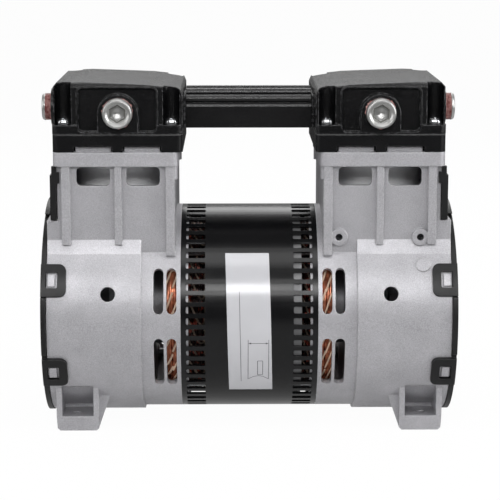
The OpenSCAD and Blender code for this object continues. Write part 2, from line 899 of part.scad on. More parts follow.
module bearing_groove(r_mid, ball_d) {
    rotate([0, 90, 0]) rotate_extrude() translate([r_mid, 0])
        circle(d = ball_d + 2 * groove_gap, $fn = small_fn);
}

module bearing_outer_ring(od, id, w, ball_d) {
    mid = (od + id) / 4;
    rise = (od - id) * shoulder_share / 2;
    color("#b9bcc0") difference() {
        union() {
            tube_x(od / 2, mid + rise, -w / 2, w / 2);
            for (s = [-1, 1]) translate([s * (w / 2 - shield_inset - shield_t / 2), 0, 0])
                tube_x(mid + rise + cut, mid - rise + groove_gap + fit_gap, -shield_t / 2, shield_t / 2);
        }
        bearing_groove(mid, ball_d);
    }
}

module bearing_inner_ring(od, id, w, ball_d) {
    mid = (od + id) / 4;
    rise = (od - id) * shoulder_share / 2;
    color("#c4c7ca") difference() {
        tube_x(mid - rise, id / 2, -w / 2, w / 2);
        bearing_groove(mid, ball_d);
    }
}

module bearing_balls(od, id, ball_d, count) {
    mid = (od + id) / 4;
    color("#d5d7da") {
        for (i = [0:count - 1]) rotate([i * 360 / count, 0, 0]) translate([0, 0, mid])
            sphere(d = ball_d, $fn = small_fn);
        tube_x(mid + cage_t / 2, mid - cage_t / 2, -cage_half, cage_half);
    }
}

module main_bearing_place(side) {
    on_shaft(side) translate([brg_end(side) - brg_w / 2, 0, 0]) children();
}

module main_outer(side) {
    main_bearing_place(side) bearing_outer_ring(brg_od, shaft_d, brg_w, brg_ball_d);
}
module main_inner(side) {
    main_bearing_place(side) bearing_inner_ring(brg_od, shaft_d + fit_gap / 2, brg_w, brg_ball_d);
}
module main_balls(side) {
    main_bearing_place(side) bearing_balls(brg_od, shaft_d, brg_ball_d, brg_balls);
}
module left_bearing_outer() { main_outer(-1); }
module right_bearing_outer() { main_outer(1); }
module left_bearing_inner() { main_inner(-1); }
module right_bearing_inner() { main_inner(1); }
module left_bearing_balls() { main_balls(-1); }
module right_bearing_balls() { main_balls(1); }

// A spring washer with three waves takes up the right bearing's end play
module wave_washer() {
    step = 180 / wave_count;
    height = wave_h - 2 * fit_gap;
    color("#a9acb0") on_shaft(1) translate([hub_seat_end - wave_h + fit_gap, 0, 0]) difference() {
        tube_x(brg_od / 2 - fit_gap, brg_od / 2 - wave_rim, 0, height);
        for (i = [0:2 * wave_count - 1])
            sector_x(brg_od / 2 - wave_rim - cut, brg_od / 2 + cut, i % 2 == 0 ? wave_t : -cut,
                i % 2 == 0 ? height + cut : height - wave_t, i * step + wave_riser,
                (i + 1) * step - wave_riser);
    }
}

// Shaft and rotor

pin_x0 = hub_seat_end + hub_lip + pin_start;
pin_x1 = cyl_x + rod_w / 2 + fit_gap;
pin_length = rod_w / 2 + cyl_x - pin_x0;
weight_x0 = pin_x1 + pin_shoulder;
weight_x1 = weight_x0 + weight_t;
fan_x0 = weight_x1 + fan_gap;
fan_x1 = fan_x0 + fan_hub_len;
shaft_x1 = fan_x1 + clip_t + shaft_out;

module shaft_half(side) {
    rotor_end = brg_end(side) - brg_w;
    rod_x(rotor_shaft_d / 2, 0, rotor_end);
    rod_x(shaft_d / 2, 0, hub_seat_end + hub_lip);
    rod_x(crank_shaft_d / 2, 0, shaft_x1 - shaft_chamfer);
    translate([shaft_x1 - shaft_chamfer, 0, 0]) rotate([0, 90, 0])
        cylinder(r1 = crank_shaft_d / 2, r2 = crank_shaft_d / 2 - shaft_chamfer, h = shaft_chamfer);
}

module shaft() {
    color("#c3c6c9") {
        on_shaft(-1) shaft_half(-1);
        on_shaft(1) shaft_half(1);
    }
}

module rotor_bar_places() {
    for (i = [0:rotor_bars - 1]) rotate(i * 360 / rotor_bars)
        translate([0, rotor_r - bar_depth - bar_d / 2]) children();
}

module rotor_core() {
    color("#7b7d80") translate([0, 0, shaft_h]) along_x(core_x0, core_x1) difference() {
        circle(r = rotor_r);
        circle(r = rotor_shaft_d / 2 + turn_gap);
        rotor_bar_places() circle(d = bar_d + fit_gap, $fn = small_fn);
    }
}

// Cast end rings, the bars that join them through the core, and their cooling pegs
module rotor_cage() {
    color("#c9cbcd") translate([0, 0, shaft_h]) {
        along_x(core_x0 - cage_ring_t / 2, core_x1 + cage_ring_t / 2)
            rotor_bar_places() circle(d = bar_d, $fn = small_fn);
        for (s = [-1, 1]) {
            face = s > 0 ? core_x1 : core_x0 - cage_ring_t;
            tube_x(rotor_r - bar_depth / 2, cage_ring_in, face, face + cage_ring_t);
            for (i = [0:pegs - 1]) rotate([i * 360 / pegs, 0, 0])
                block(s > 0 ? face + cage_ring_t - cut : face - peg_h,
                    s > 0 ? face + cage_ring_t + peg_h : face + cut,
                    -peg_w / 2, peg_w / 2, rotor_r - bar_depth - cut - peg_depth, rotor_r - bar_depth - cut);
        }
    }
}

// Eccentrics

module eccentric() {
    color("#8f9194") difference() {
        union() {
            translate([0, 0, crank_throw]) {
                rod_x(rod_brg_bore / 2 - turn_gap, pin_x0, weight_x0 + cut);
                rod_x(pin_shoulder_r, pin_x1, weight_x0 + cut);
            }
            along_x(weight_x0, weight_x1) weight_shape();
        }
        rod_x(crank_shaft_d / 2 + turn_gap, pin_x0 - cut, weight_x1 + cut);
        translate([pin_x1 + set_screw_x - pin_length, 0, 0])
            cylinder(d = set_screw_d + fit_gap, h = weight_r, $fn = small_fn);
    }
}

// A hub with a sector below it, opposite the pin
module weight_shape() {
    circle(r = weight_hub_r);
    intersection() {
        circle(r = weight_r);
        polygon([[0, weight_apex], [weight_r * 2, -weight_r * 2 * cos(weight_half_angle)],
            [weight_r * 2, -weight_r * 2], [-weight_r * 2, -weight_r * 2],
            [-weight_r * 2, -weight_r * 2 * cos(weight_half_angle)]]);
    }
}

module eccentric_screw() {
    translate([pin_x1 + set_screw_x - pin_length, 0, crank_shaft_d / 2 + seat_gap]) difference() {
        cylinder(d = set_screw_d, h = weight_hub_r - crank_shaft_d / 2 - seat_gap, $fn = small_fn);
        translate([0, 0, weight_hub_r - crank_shaft_d / 2 - set_screw_socket])
            cylinder(d = set_screw_flats / cos(30), h = set_screw_socket + cut, $fn = 6);
    }
}

module left_eccentric() { on_crank(-1) eccentric(); }
module right_eccentric() { on_crank(1) eccentric(); }
module eccentric_screws() {
    color("#3b3c3e") {
        on_crank(-1) eccentric_screw();
        on_crank(1) eccentric_screw();
    }
}

// Rod bearings

module rod_inner(side) {
    on_pin(side) bearing_inner_ring(rod_brg_od, rod_brg_bore, rod_w, rod_brg_ball_d);
}
module rod_outer(side) {
    on_pin(side) bearing_outer_ring(rod_brg_od, rod_brg_bore, rod_w, rod_brg_ball_d);
}
module rod_balls(side) {
    on_pin(side) bearing_balls(rod_brg_od, rod_brg_bore, rod_brg_ball_d, rod_brg_balls);
}
module left_rod_bearing_inner() { rod_inner(-1); }
module right_rod_bearing_inner() { rod_inner(1); }
module left_rod_bearing_outer() { rod_outer(-1); }
module right_rod_bearing_outer() { rod_outer(1); }
module left_rod_bearing_balls() { rod_balls(-1); }
module right_rod_bearing_balls() { rod_balls(1); }

// Connecting rods: the piston disc is one piece with the rod

rod_top = deck_h - piston_top_gap - crank_throw;
piston_r = cyl_bore / 2 - crank_throw - piston_gap;
piston_z = rod_top - retainer_t - cup_t - piston_t;
rod_eye_r = rod_brg_od / 2 + rod_eye_wall;

module rod_stem_outline(inset) {
    top = piston_z + cut - inset * 2;
    polygon([[-rod_stem_w / 2 + inset, rod_eye_r / 2], [rod_stem_w / 2 - inset, rod_eye_r / 2],
        [rod_stem_top_w / 2 - inset, top], [-rod_stem_top_w / 2 + inset, top]]);
}

module rod() {
    color("#c7c9cc") difference() {
        union() {
            rod_x(rod_eye_r, -rod_w / 2, rod_w / 2);
            along_x(-rod_w / 2 + rod_shave, rod_w / 2 - rod_shave) rod_stem_outline(0);
            translate([0, 0, piston_z]) cylinder(r = piston_r, h = piston_t);
            translate([0, 0, piston_z - rod_collar_h]) cylinder(r = rod_w / 2, h = rod_collar_h + cut);
        }
        rod_x(rod_brg_od / 2 + turn_gap, -rod_w / 2 - cut, rod_w / 2 + cut);
        for (s = [-1, 1]) translate([s * (rod_web_t / 2 + rod_w / 2), 0, 0])
            along_x(-rod_w / 2, rod_w / 2) difference() {
                rod_stem_outline(rod_rib_w);
                circle(r = rod_eye_r + rod_rib_w);
                translate([0, piston_z - rod_collar_h]) circle(r = rod_collar_h);
            }
        translate([0, 0, piston_z + piston_t - cup_screw_len])
            cylinder(d = cup_screw_d + fit_gap, h = cup_screw_len + cut, $fn = small_fn);
    }
}

module piston_cup() {
    z = piston_z + piston_t;
    out = cyl_bore / 2 - cup_gap;
    color("#3a3b3d") rotate_extrude() polygon([
        [cup_screw_d / 2 + fit_gap, z], [out - cup_t, z], [out, z + cup_t],
        [out, z + cup_t + cup_lip_h - piston_top_gap], [out - cup_t, z + cup_t + cup_lip_h - piston_top_gap],
        [out - cup_t, z + 2 * cup_t], [out - 2 * cup_t, z + cup_t], [cup_screw_d / 2 + fit_gap, z + cup_t]]);
}

module cup_retainer() {
    color("#b5b8bb") difference() {
        translate([0, 0, rod_top - retainer_t]) cylinder(r = piston_r - retainer_inset, h = retainer_t);
        translate([0, 0, rod_top - retainer_t - cut])
            cylinder(d = cup_screw_d + fit_gap, h = retainer_t + 2 * cut, $fn = small_fn);
        translate([0, 0, rod_top - cup_screw_head_h])
            cylinder(d = cup_screw_head_d + fit_gap, h = cup_screw_head_h + cut, $fn = small_fn);
    }
}

module cup_screw() {
    color("#6f7174") difference() {
        union() {
            translate([0, 0, rod_top - cup_screw_head_h])
                cylinder(d = cup_screw_head_d, h = cup_screw_head_h);
            translate([0, 0, piston_z + piston_t - cup_screw_len + fit_gap])
                cylinder(d = cup_screw_d, h = rod_top - piston_z - piston_t + cup_screw_len - cut,
                    $fn = small_fn);
        }
        translate([0, 0, rod_top - screw_socket_h])
            cylinder(d = screw_socket_d, h = screw_socket_h + cut, $fn = 6);
    }
}

module left_rod() { on_pin(-1) rod(); }
module right_rod() { on_pin(1) rod(); }
module left_piston_cup() { on_pin(-1) piston_cup(); }
module right_piston_cup() { on_pin(1) piston_cup(); }
module left_cup_retainer() { on_pin(-1) cup_retainer(); }
module right_cup_retainer() { on_pin(1) cup_retainer(); }
module left_cup_screw() { on_pin(-1) cup_screw(); }
module right_cup_screw() { on_pin(1) cup_screw(); }

// Cylinders, valve plates and gaskets

module cylinder_sleeve() {
    color("#9b9da0") translate([cyl_x, 0, seat_z]) difference() {
        cylinder(r = sleeve_r, h = deck_h - seat_z);
        translate([0, 0, -cut]) cylinder(d = cyl_bore, h = deck_h - seat_z + 2 * cut);
    }
}
module left_cylinder_sleeve() { on_shaft(-1) cylinder_sleeve(); }
module right_cylinder_sleeve() { on_shaft(1) cylinder_sleeve(); }

module cylinder_seal() {
    translate([cyl_x, 0, deck_h - oring_d / 2]) rotate_extrude()
        translate([sleeve_r + oring_groove_w / 2, 0]) circle(d = oring_d, $fn = small_fn);
}
module cylinder_seals() {
    color("#232324") {
        on_shaft(-1) cylinder_seal();
        on_shaft(1) cylinder_seal();
    }
}

module head_screw_holes(z0, z1) {
    translate([cyl_x, 0, z0]) four_corners(head_screw_dx, head_screw_dy)
        cylinder(d = head_screw_d + fit_gap, h = z1 - z0, $fn = small_fn);
}

plate_z1 = deck_h + plate_t;

module plate_notches() {
    y = head_half - plate_inset;
    for (sx = [-1, 1])
        block(notch_x(sx) - plate_notch_w / 2, notch_x(sx) + plate_notch_w / 2, -y - cut,
            -y + plate_notch_depth, deck_h - cut, deck_h + plate_notch_h);
}

// Reed pockets: the intake reed lies below the plate and the exhaust reed on top of it
module valve_plate() {
    color("#151516") difference() {
        along_z(deck_h, plate_z1) head_outline(plate_inset);
        front_and_back() plate_notches();
        for (s = [-1, 1]) translate([cyl_x + s * reed_dx, 0, deck_h - cut])
            cylinder(d = valve_port_d, h = plate_t + 2 * cut, $fn = small_fn);
        translate([cyl_x - reed_dx, 0, deck_h - cut]) along_z(0, cut + reed_t + reed_screw_head_h + fit_gap)
            reed_shape(fit_gap);
        translate([cyl_x + reed_dx, 0, plate_z1 - reed_recess]) along_z(0, reed_recess + cut)
            reed_shape(fit_gap);
        for (s = [-1, 1]) translate([cyl_x + s * reed_dx, reed_l / 2, deck_h - cut])
            cylinder(d = reed_screw_d + fit_gap, h = plate_t + 2 * cut, $fn = small_fn);
        head_screw_holes(deck_h - cut, plate_z1 + cut);
    }
}
module left_valve_plate() { on_shaft(-1) valve_plate(); }
module right_valve_plate() { on_shaft(1) valve_plate(); }

module reed_shape(grow) {
    circle(d = reed_tip_d + 2 * grow, $fn = small_fn);
    translate([-reed_w / 2 - grow, 0]) square([reed_w + 2 * grow, reed_l / 2]);
    translate([0, reed_l / 2]) circle(d = reed_w + 2 * grow, $fn = small_fn);
}

module reed(x, z) {
    translate([x, 0, z]) linear_extrude(reed_t) difference() {
        reed_shape(0);
        translate([0, reed_l / 2]) circle(d = reed_screw_d + fit_gap, $fn = small_fn);
    }
}

intake_reed_z = deck_h + reed_screw_head_h + fit_gap;
exhaust_reed_z = plate_z1 - reed_recess;

module intake_reeds() {
    color("#c8cacc") for (side = [-1, 1]) on_shaft(side) reed(cyl_x - reed_dx, intake_reed_z);
}
module exhaust_reeds() {
    color("#c8cacc") for (side = [-1, 1]) on_shaft(side) reed(cyl_x + reed_dx, exhaust_reed_z);
}

module reed_screw() {
    cylinder(d = reed_screw_head_d, h = reed_screw_head_h, $fn = small_fn);
    cylinder(d = reed_screw_d, h = reed_screw_head_h + plate_t / 2, $fn = small_fn);
}

module reed_screws() {
    color("#a5a8ab") for (side = [-1, 1]) on_shaft(side) {
        translate([cyl_x - reed_dx, reed_l / 2, deck_h]) reed_screw();
        translate([cyl_x + reed_dx, reed_l / 2, exhaust_reed_z + reed_t + reed_screw_head_h])
            mirror([0, 0, 1]) reed_screw();
    }
}

module head_gasket() {
    difference() {
        along_z(plate_z1, plate_z1 + gasket_t) head_outline(plate_inset);
        chambers(plate_z1 - cut, plate_z1 + gasket_t + cut);
        head_screw_holes(plate_z1 - cut, plate_z1 + gasket_t + cut);
    }
}
module head_gaskets() {
    color("#4a4b4d") {
        on_shaft(-1) head_gasket();
        on_shaft(1) head_gasket();
    }
}

// Cylinder heads

head_x0 = cyl_x - head_w / 2;
head_x1 = cyl_x + head_w / 2;
head_half = flange_d / 2 - head_inset;
head_top = head_z + head_h;

module head_outline(inset) {
    polygon(round_rect(head_x0 + inset, head_x1 - inset, -head_half + inset, head_half - inset,
        flange_corner));
}

// The intake and exhaust chambers, either side of a rib. The rib steps aside at both ends, so that
// each end port opens into one chamber only.
module chambers(z0, z1) {
    y = head_half - chamber_inset_y;
    rib = chamber_rib / 2;
    jog = rib_jog_x;
    along_z(z0, z1) difference() {
        polygon(round_rect(head_x0 + chamber_inset_x, head_x1 - chamber_inset_x, -y, y, chamber_corner));
        translate([cyl_x, 0]) polygon([
            [-jog - rib, -y - cut], [-jog + rib, -y - cut], [-jog + rib, -rib_jog_y - rib],
            [rib, -rib_jog_y - rib], [rib, rib_jog_y - rib], [jog + rib, rib_jog_y - rib],
            [jog + rib, y + cut], [jog - rib, y + cut], [jog - rib, rib_jog_y + rib],
            [-rib, rib_jog_y + rib], [-rib, -rib_jog_y + rib], [-jog - rib, -rib_jog_y + rib]]);
    }
}

// The outline seen from the front: a top that slopes down to a rounded inner end
module head_front_outline() {
    x1 = head_x1 - head_side_inset;
    dip = head_top - head_end_dip;
    r = head_end_round;
    polygon([
        [head_x0, head_z + cut], [x1, head_z + cut], [x1, head_top - head_bevel_z],
        [x1 - head_bevel_z / 2, head_top - head_end_drop / 2], [x1 - head_end_run, head_top],
        [head_x0 + head_end_x, head_top - head_end_drop], [head_x0 + head_end_dip_x, dip],
        [head_x0 + r, dip - r * head_round_share / 3],
        [head_x0 + r * head_round_share, dip - r * head_round_share], [head_x0, dip - r]]);
}

module head_side_outline() {
    y = head_half - head_body_inset;
    polygon([
        [-y, head_z + cut], [y, head_z + cut], [y, head_top - head_bevel_z],
        [y - head_bevel_y / 3, head_top - head_bevel_z / 3], [y - head_bevel_y, head_top],
        [-y + head_bevel_y, head_top], [-y + head_bevel_y / 3, head_top - head_bevel_z / 3],
        [-y, head_top - head_bevel_z]]);
}

// Pockets over the head screws, open to the front and back
module head_niches() {
    for (sx = [-1, 1], sy = [-1, 1]) translate([cyl_x + sx * head_screw_dx, sy * head_screw_dy, 0])
        along_z(head_z + head_base_h, head_top + cut) {
            circle(r = niche_r);
            translate([-niche_r, sy > 0 ? 0 : -2 * niche_r]) square([2 * niche_r, 2 * niche_r]);
        }
}

module head_panel() {
    y = head_half - head_body_inset;
    along_y(-head_half - cut, -y + panel_depth) polygon(round_rect(cyl_x - panel_w / 2,
        cyl_x + panel_w / 2, head_z + panel_sill, head_z + panel_h, window_r));
}

module port_boss() {
    translate([cyl_x + port_x, 0, head_z]) along_y(-head_half - port_boss_out, 0) {
        translate([0, port_boss_top - port_boss_r]) circle(r = port_boss_r);
        translate([-port_boss_r, cut]) square([2 * port_boss_r, port_boss_top - port_boss_r - cut]);
    }
}

// A bore from one end's boss into its chamber
module end_port(d) {
    translate([cyl_x + port_x, -head_half + chamber_inset_y + cut, head_z + port_z]) rotate([90, 0, 0])
        cylinder(d = d, h = chamber_inset_y + port_boss_out + 2 * cut);
}

// The front end port takes a plug, the back one is tapped and open
module head(side) {
    color("#141415") difference() {
        union() {
            difference() {
                union() {
                    along_z(head_z, head_z + head_base_h) head_outline(0);
                    intersection() {
                        along_y(-head_half + head_body_inset, head_half - head_body_inset)
                            head_front_outline();
                        along_x(head_x0, head_x1) head_side_outline();
                    }
                }
                head_niches();
                front_and_back() head_panel();
            }
            front_and_back() port_boss();
            translate([0, 0, head_z + side_port_z]) rod_x(side_boss_r, cyl_x, head_x1 + side_boss_out);
            block(head_x0 - bar_pad_out, cyl_x, -bar_half, bar_half, head_z + bar_z0,
                head_z + bar_side_h + bar_crown_h - head_end_round);
        }
        chambers(head_z - cut, head_top - chamber_wall);
        mirror([0, side > 0 ? 0 : 1, 0]) {
            end_port(port_d + fit_gap);
            mirror([0, 1, 0]) end_port(port_d - 2 * port_thread);
        }
        translate([0, 0, head_z + side_port_z])
            rod_x(port_d / 2 + fit_gap / 2, head_x1 - chamber_inset_x - cut, head_x1 + side_boss_out + cut);
        head_screw_holes(head_z - cut, head_z + head_base_h + cut);
        manifold_bores(head_x0 - bar_pad_out - cut, head_x0 + 2 * chamber_inset_x);
    }
}
module left_head() { on_shaft(-1) head(-1); }
module right_head() { on_shaft(1) head(1); }

// Pan-head screw with a cross recess
module head_screw() {
    length = screw_len + head_base_h + plate_t + gasket_t - screw_hole_depth / 2;
    difference() {
        union() {
            cylinder(d = screw_head_d, h = screw_head_h - screw_dome);
            translate([0, 0, screw_head_h - screw_dome])
                cylinder(d1 = screw_head_d, d2 = screw_head_d / 2, h = screw_dome);
            translate([0, 0, -length]) cylinder(d = head_screw_d, h = length, $fn = small_fn);
        }
        for (a = [0, 90]) rotate([0, 0, a]) translate([-screw_cross_l / 2, -screw_cross_w / 2,
            screw_head_h - screw_cross_h]) cube([screw_cross_l, screw_cross_w, screw_cross_h + cut]);
    }
}

module head_screws() {
    color("#c9ccd0") for (side = [-1, 1]) on_shaft(side) translate([cyl_x, 0, head_z + head_base_h])
        four_corners(head_screw_dx, head_screw_dy) head_screw();
}

// Pipe plug with a hexagon socket, drawn along Z with its rim at the top
module pipe_plug(rim_d) {
    difference() {
        union() {
            cylinder(d = port_d, h = plug_len + cut);
            translate([0, 0, plug_len + fit_gap])
                cylinder(d = rim_d, h = plug_out - plug_chamfer - fit_gap);
            translate([0, 0, plug_len + plug_out - plug_chamfer])
                cylinder(d1 = rim_d, d2 = rim_d - plug_chamfer, h = plug_chamfer);
        }
        translate([0, 0, -cut]) cylinder(d = port_d - 2 * plug_shell, h = plug_len - plug_shell + cut);
        translate([0, 0, plug_len + plug_out - plug_socket_depth])
            cylinder(d = plug_socket_af / cos(30), h = plug_socket_depth + cut, $fn = 6);
    }
}

module front_port_plugs() {
    color("#b4b6b8") for (side = [-1, 1])
        translate([side * (cyl_x + port_x), -head_half - port_boss_out + plug_len, shaft_h + head_z + port_z])
            rotate([90, 0, 0]) pipe_plug(front_plug_d);
}

module side_port_plugs() {
    color("#b4b6b8") for (side = [-1, 1]) on_shaft(side) translate([0, 0, head_z + side_port_z])
        rotate([0, 90, 0]) translate([0, 0, head_x1 + side_boss_out - plug_len]) pipe_plug(port_d);
}

// Manifold bar: square sides with a fluted crown, and two bores along it

bar_x = head_x0 - bar_pad_out - bar_end_gap;

module manifold_bores(x0, x1) {
    for (s = [-1, 1]) translate([0, s * bar_bore_dy, head_z + bar_bore_z]) rod_x(bar_bore_r, x0, x1);
}

module manifold_bar() {
    color("#18181a") translate([0, 0, shaft_h]) difference() {
        along_x(-bar_x, bar_x) bar_section();
        manifold_bores(-bar_x - cut, bar_x + cut);
        for (s = [-1, 1], sy = [-1, 1])
            translate([s * (bar_x - bar_seal_d / 2), sy * bar_bore_dy, head_z + bar_bore_z])
                tube_x(bar_seal_r + bar_seal_d / 2 + fit_gap, bar_seal_r - bar_seal_d / 2 - fit_gap,
                    s > 0 ? -bar_seal_d / 2 : -bar_seal_d, s > 0 ? bar_seal_d : bar_seal_d / 2);
    }
}

// Square sides, with round flutes set along an arch
module bar_section() {
    z = head_z + bar_z0;
    rise = bar_crown_h - bar_flute_r;
    run = bar_half - bar_flute_r;
    translate([-bar_half, z]) square([2 * bar_half, bar_side_h]);
    polygon([for (i = [0:bar_flutes - 1]) let (a = 180 * i / (bar_flutes - 1))
        [run * cos(a), z + bar_side_h + rise * sin(a)]]);
    for (i = [0:bar_flutes - 1]) {
        a = 180 * i / (bar_flutes - 1);
        translate([run * cos(a), z + bar_side_h + rise * sin(a)]) circle(r = bar_flute_r, $fn = small_fn);
    }
}

module manifold_seals() {
    color("#2a2a2b") for (s = [-1, 1], sy = [-1, 1])
        translate([s * (bar_x - bar_seal_d / 2 + fit_gap), sy * bar_bore_dy, shaft_h + head_z + bar_bore_z])
            rotate([0, 90, 0]) rotate_extrude() translate([bar_seal_r, 0])
                circle(d = bar_seal_d, $fn = small_fn);
}

// Fans, clips and guards

fan_r = drum_in - fan_tip_gap;

module fan_blade() {
    translate([0, 0, fan_hub_r - cut]) linear_extrude(fan_r - fan_hub_r + cut) intersection() {
        rotate(fan_blade_pitch) translate([0, -fan_blade_camber_r]) difference() {
            circle(r = fan_blade_camber_r + fan_blade_t / 2);
            circle(r = fan_blade_camber_r - fan_blade_t / 2);
        }
        translate([-fan_blade_len / 2, -fan_blade_len]) square([fan_blade_len, 2 * fan_blade_len]);
    }
}

module fan() {
    color("#1e1e20") difference() {
        union() {
            tube_x(fan_hub_r, crank_shaft_d / 2, fan_x0, fan_x1);
            translate([(fan_x0 + fan_x1) / 2, 0, 0]) intersection() {
                for (i = [0:fan_blades - 1]) rotate([i * 360 / fan_blades, 0, 0]) fan_blade();
                rod_x(fan_r, -fan_hub_len, fan_hub_len);
            }
        }
        rod_x(crank_shaft_d / 2 + turn_gap, fan_x0 - cut, fan_x1 + cut);
    }
}
module left_fan() { on_shaft(-1) fan(); }
module right_fan() { on_shaft(1) mirror([0, 1, 0]) fan(); }

// Push-on spring clip with three tongues
module fan_clip() {
    difference() {
        rod_x(clip_r, fan_x1, fan_x1 + clip_t);
        rod_x(crank_shaft_d / 2 + turn_gap, fan_x1 - cut, fan_x1 + clip_t + cut);
        for (i = [0:clip_tongues - 1]) rotate([i * 360 / clip_tongues, 0, 0])
            block(fan_x1 - cut, fan_x1 + clip_t + cut, -clip_slot / 2, clip_slot / 2, 0,
                (clip_r + crank_shaft_d / 2) / 2);
    }
}

module fan_clips() {
    color("#a7aaad") {
        on_shaft(-1) fan_clip();
        on_shaft(1) fan_clip();
    }
}

guard_x0 = drum_x1 + guard_gap;
guard_x1 = guard_x0 + guard_t;
guard_r = drum_r + guard_over;

// Arched openings between concentric bars and spokes
module guard_openings() {
    pitch = (guard_r - guard_rim - guard_hub_r) / guard_rings;
    for (ring = [0:guard_rings - 1], i = [0:guard_spokes - 1]) {
        r0 = guard_hub_r + ring * pitch + guard_bar / 2;
        r1 = r0 + pitch - guard_bar;
        half = 180 / guard_spokes - asin(guard_spoke_w / 2 / r0);
        mid = i * 360 / guard_spokes;
        sector_x(r0, r1, guard_x0 - cut, guard_x1 + cut, mid - half, mid + half);
    }
}

clip_in = drum_r + clip_clear;

// Latch loops reach back over the drum and take its catches
module guard_latch(a) {
    x0 = guard_x1 - clip_reach;
    arm = clip_arm;
    intersection() {
        tube_x(clip_in + clip_out, clip_in, x0 - cut, guard_x1);
        radial(a) linear_extrude(2 * drum_r) difference() {
            polygon(round_rect(x0, guard_x1 + 2 * clip_corner, -clip_half_w, clip_half_w, clip_corner));
            polygon(round_rect(x0 + arm, guard_x1 - guard_t, -clip_half_w + arm, clip_half_w - arm,
                clip_window_r));
        }
    }
}

// The shroud plate over the tower's outboard side, open behind for the fan's air
module shroud() {
    x0 = tower_x1 + seat_gap;
    difference() {
        block(x0, x0 + shroud_t, -shroud_half, shroud_half, shroud_z0, shroud_z1);
        block(x0 - cut, x0 + shroud_t - shroud_skin, -shroud_half + shroud_skin, shroud_half - shroud_skin,
            shroud_z0 - cut, shroud_z1 - shroud_skin);
        rod_x(clip_in, x0 - cut, x0 + shroud_t + cut);
    }
    intersection() {
        tube_x(clip_in + shroud_band, clip_in, x0, guard_x1);
        block(x0, guard_x1, -shroud_half, shroud_half, shroud_z0, guard_r + shroud_z1);
    }
    front_and_back() {
        block(x0 - hook_w, x0 + neck_t, -shroud_half, -tower_d / 2 - seat_gap, hook_z0, hook_z1);
        block(x0, x0 + neck_t, -shroud_half, -shroud_half + hook_neck, shroud_z1 - cut,
            flange_z - seat_gap);
    }
}

// Room for the feet, should they reach out as far as the guard
module foot_room() {
    front_and_back() block(foot_x0, foot_x1 + foot_top_flare + seat_gap, -foot_y1 - seat_gap,
        -foot_y0 + seat_gap, -shaft_h, -shaft_h + foot_rise + seat_gap);
}

module fan_guard() {
    color("#161617") {
        difference() {
            rod_x(guard_r, guard_x0, guard_x1);
            guard_openings();
            foot_room();
        }
        difference() {
            tube_x(clip_in + clip_out, clip_in, guard_x0, guard_x1);
            block(guard_x0 - cut, guard_x1 + cut, -drum_r, drum_r, -guard_r - clip_out, shroud_z0);
        }
        front_and_back() for (a = clip_angles) guard_latch(a);
        shroud();
    }
}
module left_fan_guard() { on_shaft(-1) fan_guard(); }
module right_fan_guard() { on_shaft(1) fan_guard(); }

// A plain bush for the motor leads, with a flange outside the shell
module lead_grommet() {
    color("#202021") translate([0, 0, shaft_h]) radial(180 - grommet_angle) difference() {
        union() {
            translate([0, 0, stator_r + fit_gap]) cylinder(r = grommet_r, h = shell_wall + grommet_flange_t);
            translate([0, 0, shell_r + fit_gap]) cylinder(r = grommet_flange_r, h = grommet_flange_t);
        }
        translate([0, 0, stator_r]) cylinder(r = grommet_hole_r, h = shell_wall + 3 * grommet_flange_t);
    }
}

left_crankcase();
right_crankcase();
motor_shell();
stator_core();
left_end_winding();
right_end_winding();
left_winding_lacing();
right_winding_lacing();
through_bolts();
left_bearing_outer();
right_bearing_outer();
left_bearing_inner();
right_bearing_inner();
left_bearing_balls();
right_bearing_balls();
wave_washer();
shaft();
rotor_core();
rotor_cage();
left_eccentric();
right_eccentric();
eccentric_screws();
left_rod_bearing_inner();
right_rod_bearing_inner();
left_rod_bearing_balls();
right_rod_bearing_balls();
left_rod_bearing_outer();
right_rod_bearing_outer();
left_rod();
right_rod();
left_piston_cup();
right_piston_cup();
left_cup_retainer();
right_cup_retainer();
left_cup_screw();
right_cup_screw();
left_cylinder_sleeve();
right_cylinder_sleeve();
cylinder_seals();
left_valve_plate();
right_valve_plate();
intake_reeds();
exhaust_reeds();
reed_screws();
head_gaskets();
left_head();
right_head();
head_screws();
manifold_bar();
manifold_seals();
front_port_plugs();
side_port_plugs();
left_fan();
right_fan();
fan_clips();
left_fan_guard();
right_fan_guard();
lead_grommet();
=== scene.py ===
import json
import math
import random

import bmesh
import bpy
from mathutils import Matrix, Vector


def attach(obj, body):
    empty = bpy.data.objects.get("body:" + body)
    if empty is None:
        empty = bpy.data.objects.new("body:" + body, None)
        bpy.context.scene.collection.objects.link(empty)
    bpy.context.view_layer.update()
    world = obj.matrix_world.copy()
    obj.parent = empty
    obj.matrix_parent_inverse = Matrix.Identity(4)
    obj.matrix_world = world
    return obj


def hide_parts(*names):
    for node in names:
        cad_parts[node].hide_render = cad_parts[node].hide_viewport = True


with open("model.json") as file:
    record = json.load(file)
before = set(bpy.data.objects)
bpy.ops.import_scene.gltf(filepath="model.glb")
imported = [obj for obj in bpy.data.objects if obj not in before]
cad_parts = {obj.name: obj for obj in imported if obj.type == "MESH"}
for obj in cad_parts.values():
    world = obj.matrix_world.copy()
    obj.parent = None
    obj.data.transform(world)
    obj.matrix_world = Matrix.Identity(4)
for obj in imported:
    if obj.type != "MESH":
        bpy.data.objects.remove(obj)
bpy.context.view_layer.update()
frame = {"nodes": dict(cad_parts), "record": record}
cadNodes = frame["nodes"]
print("frame loaded:", len(cadNodes), "nodes")

mm = 0.001

# Places that the CAD gives, in millimetres: heights are above the shaft's axis
machine = {
    "shaftHeight": 69.5,
    "cylinderX": 79.8,
    "shellRadius": 64.5,
    "headBase": 115.7,
}


# Node helpers for the shaders and the geometry trees

def feedSocket(tree, socket, value):
    if isinstance(value, (int, float)):
        socket.default_value = value
    else:
        tree.links.new(value, socket)


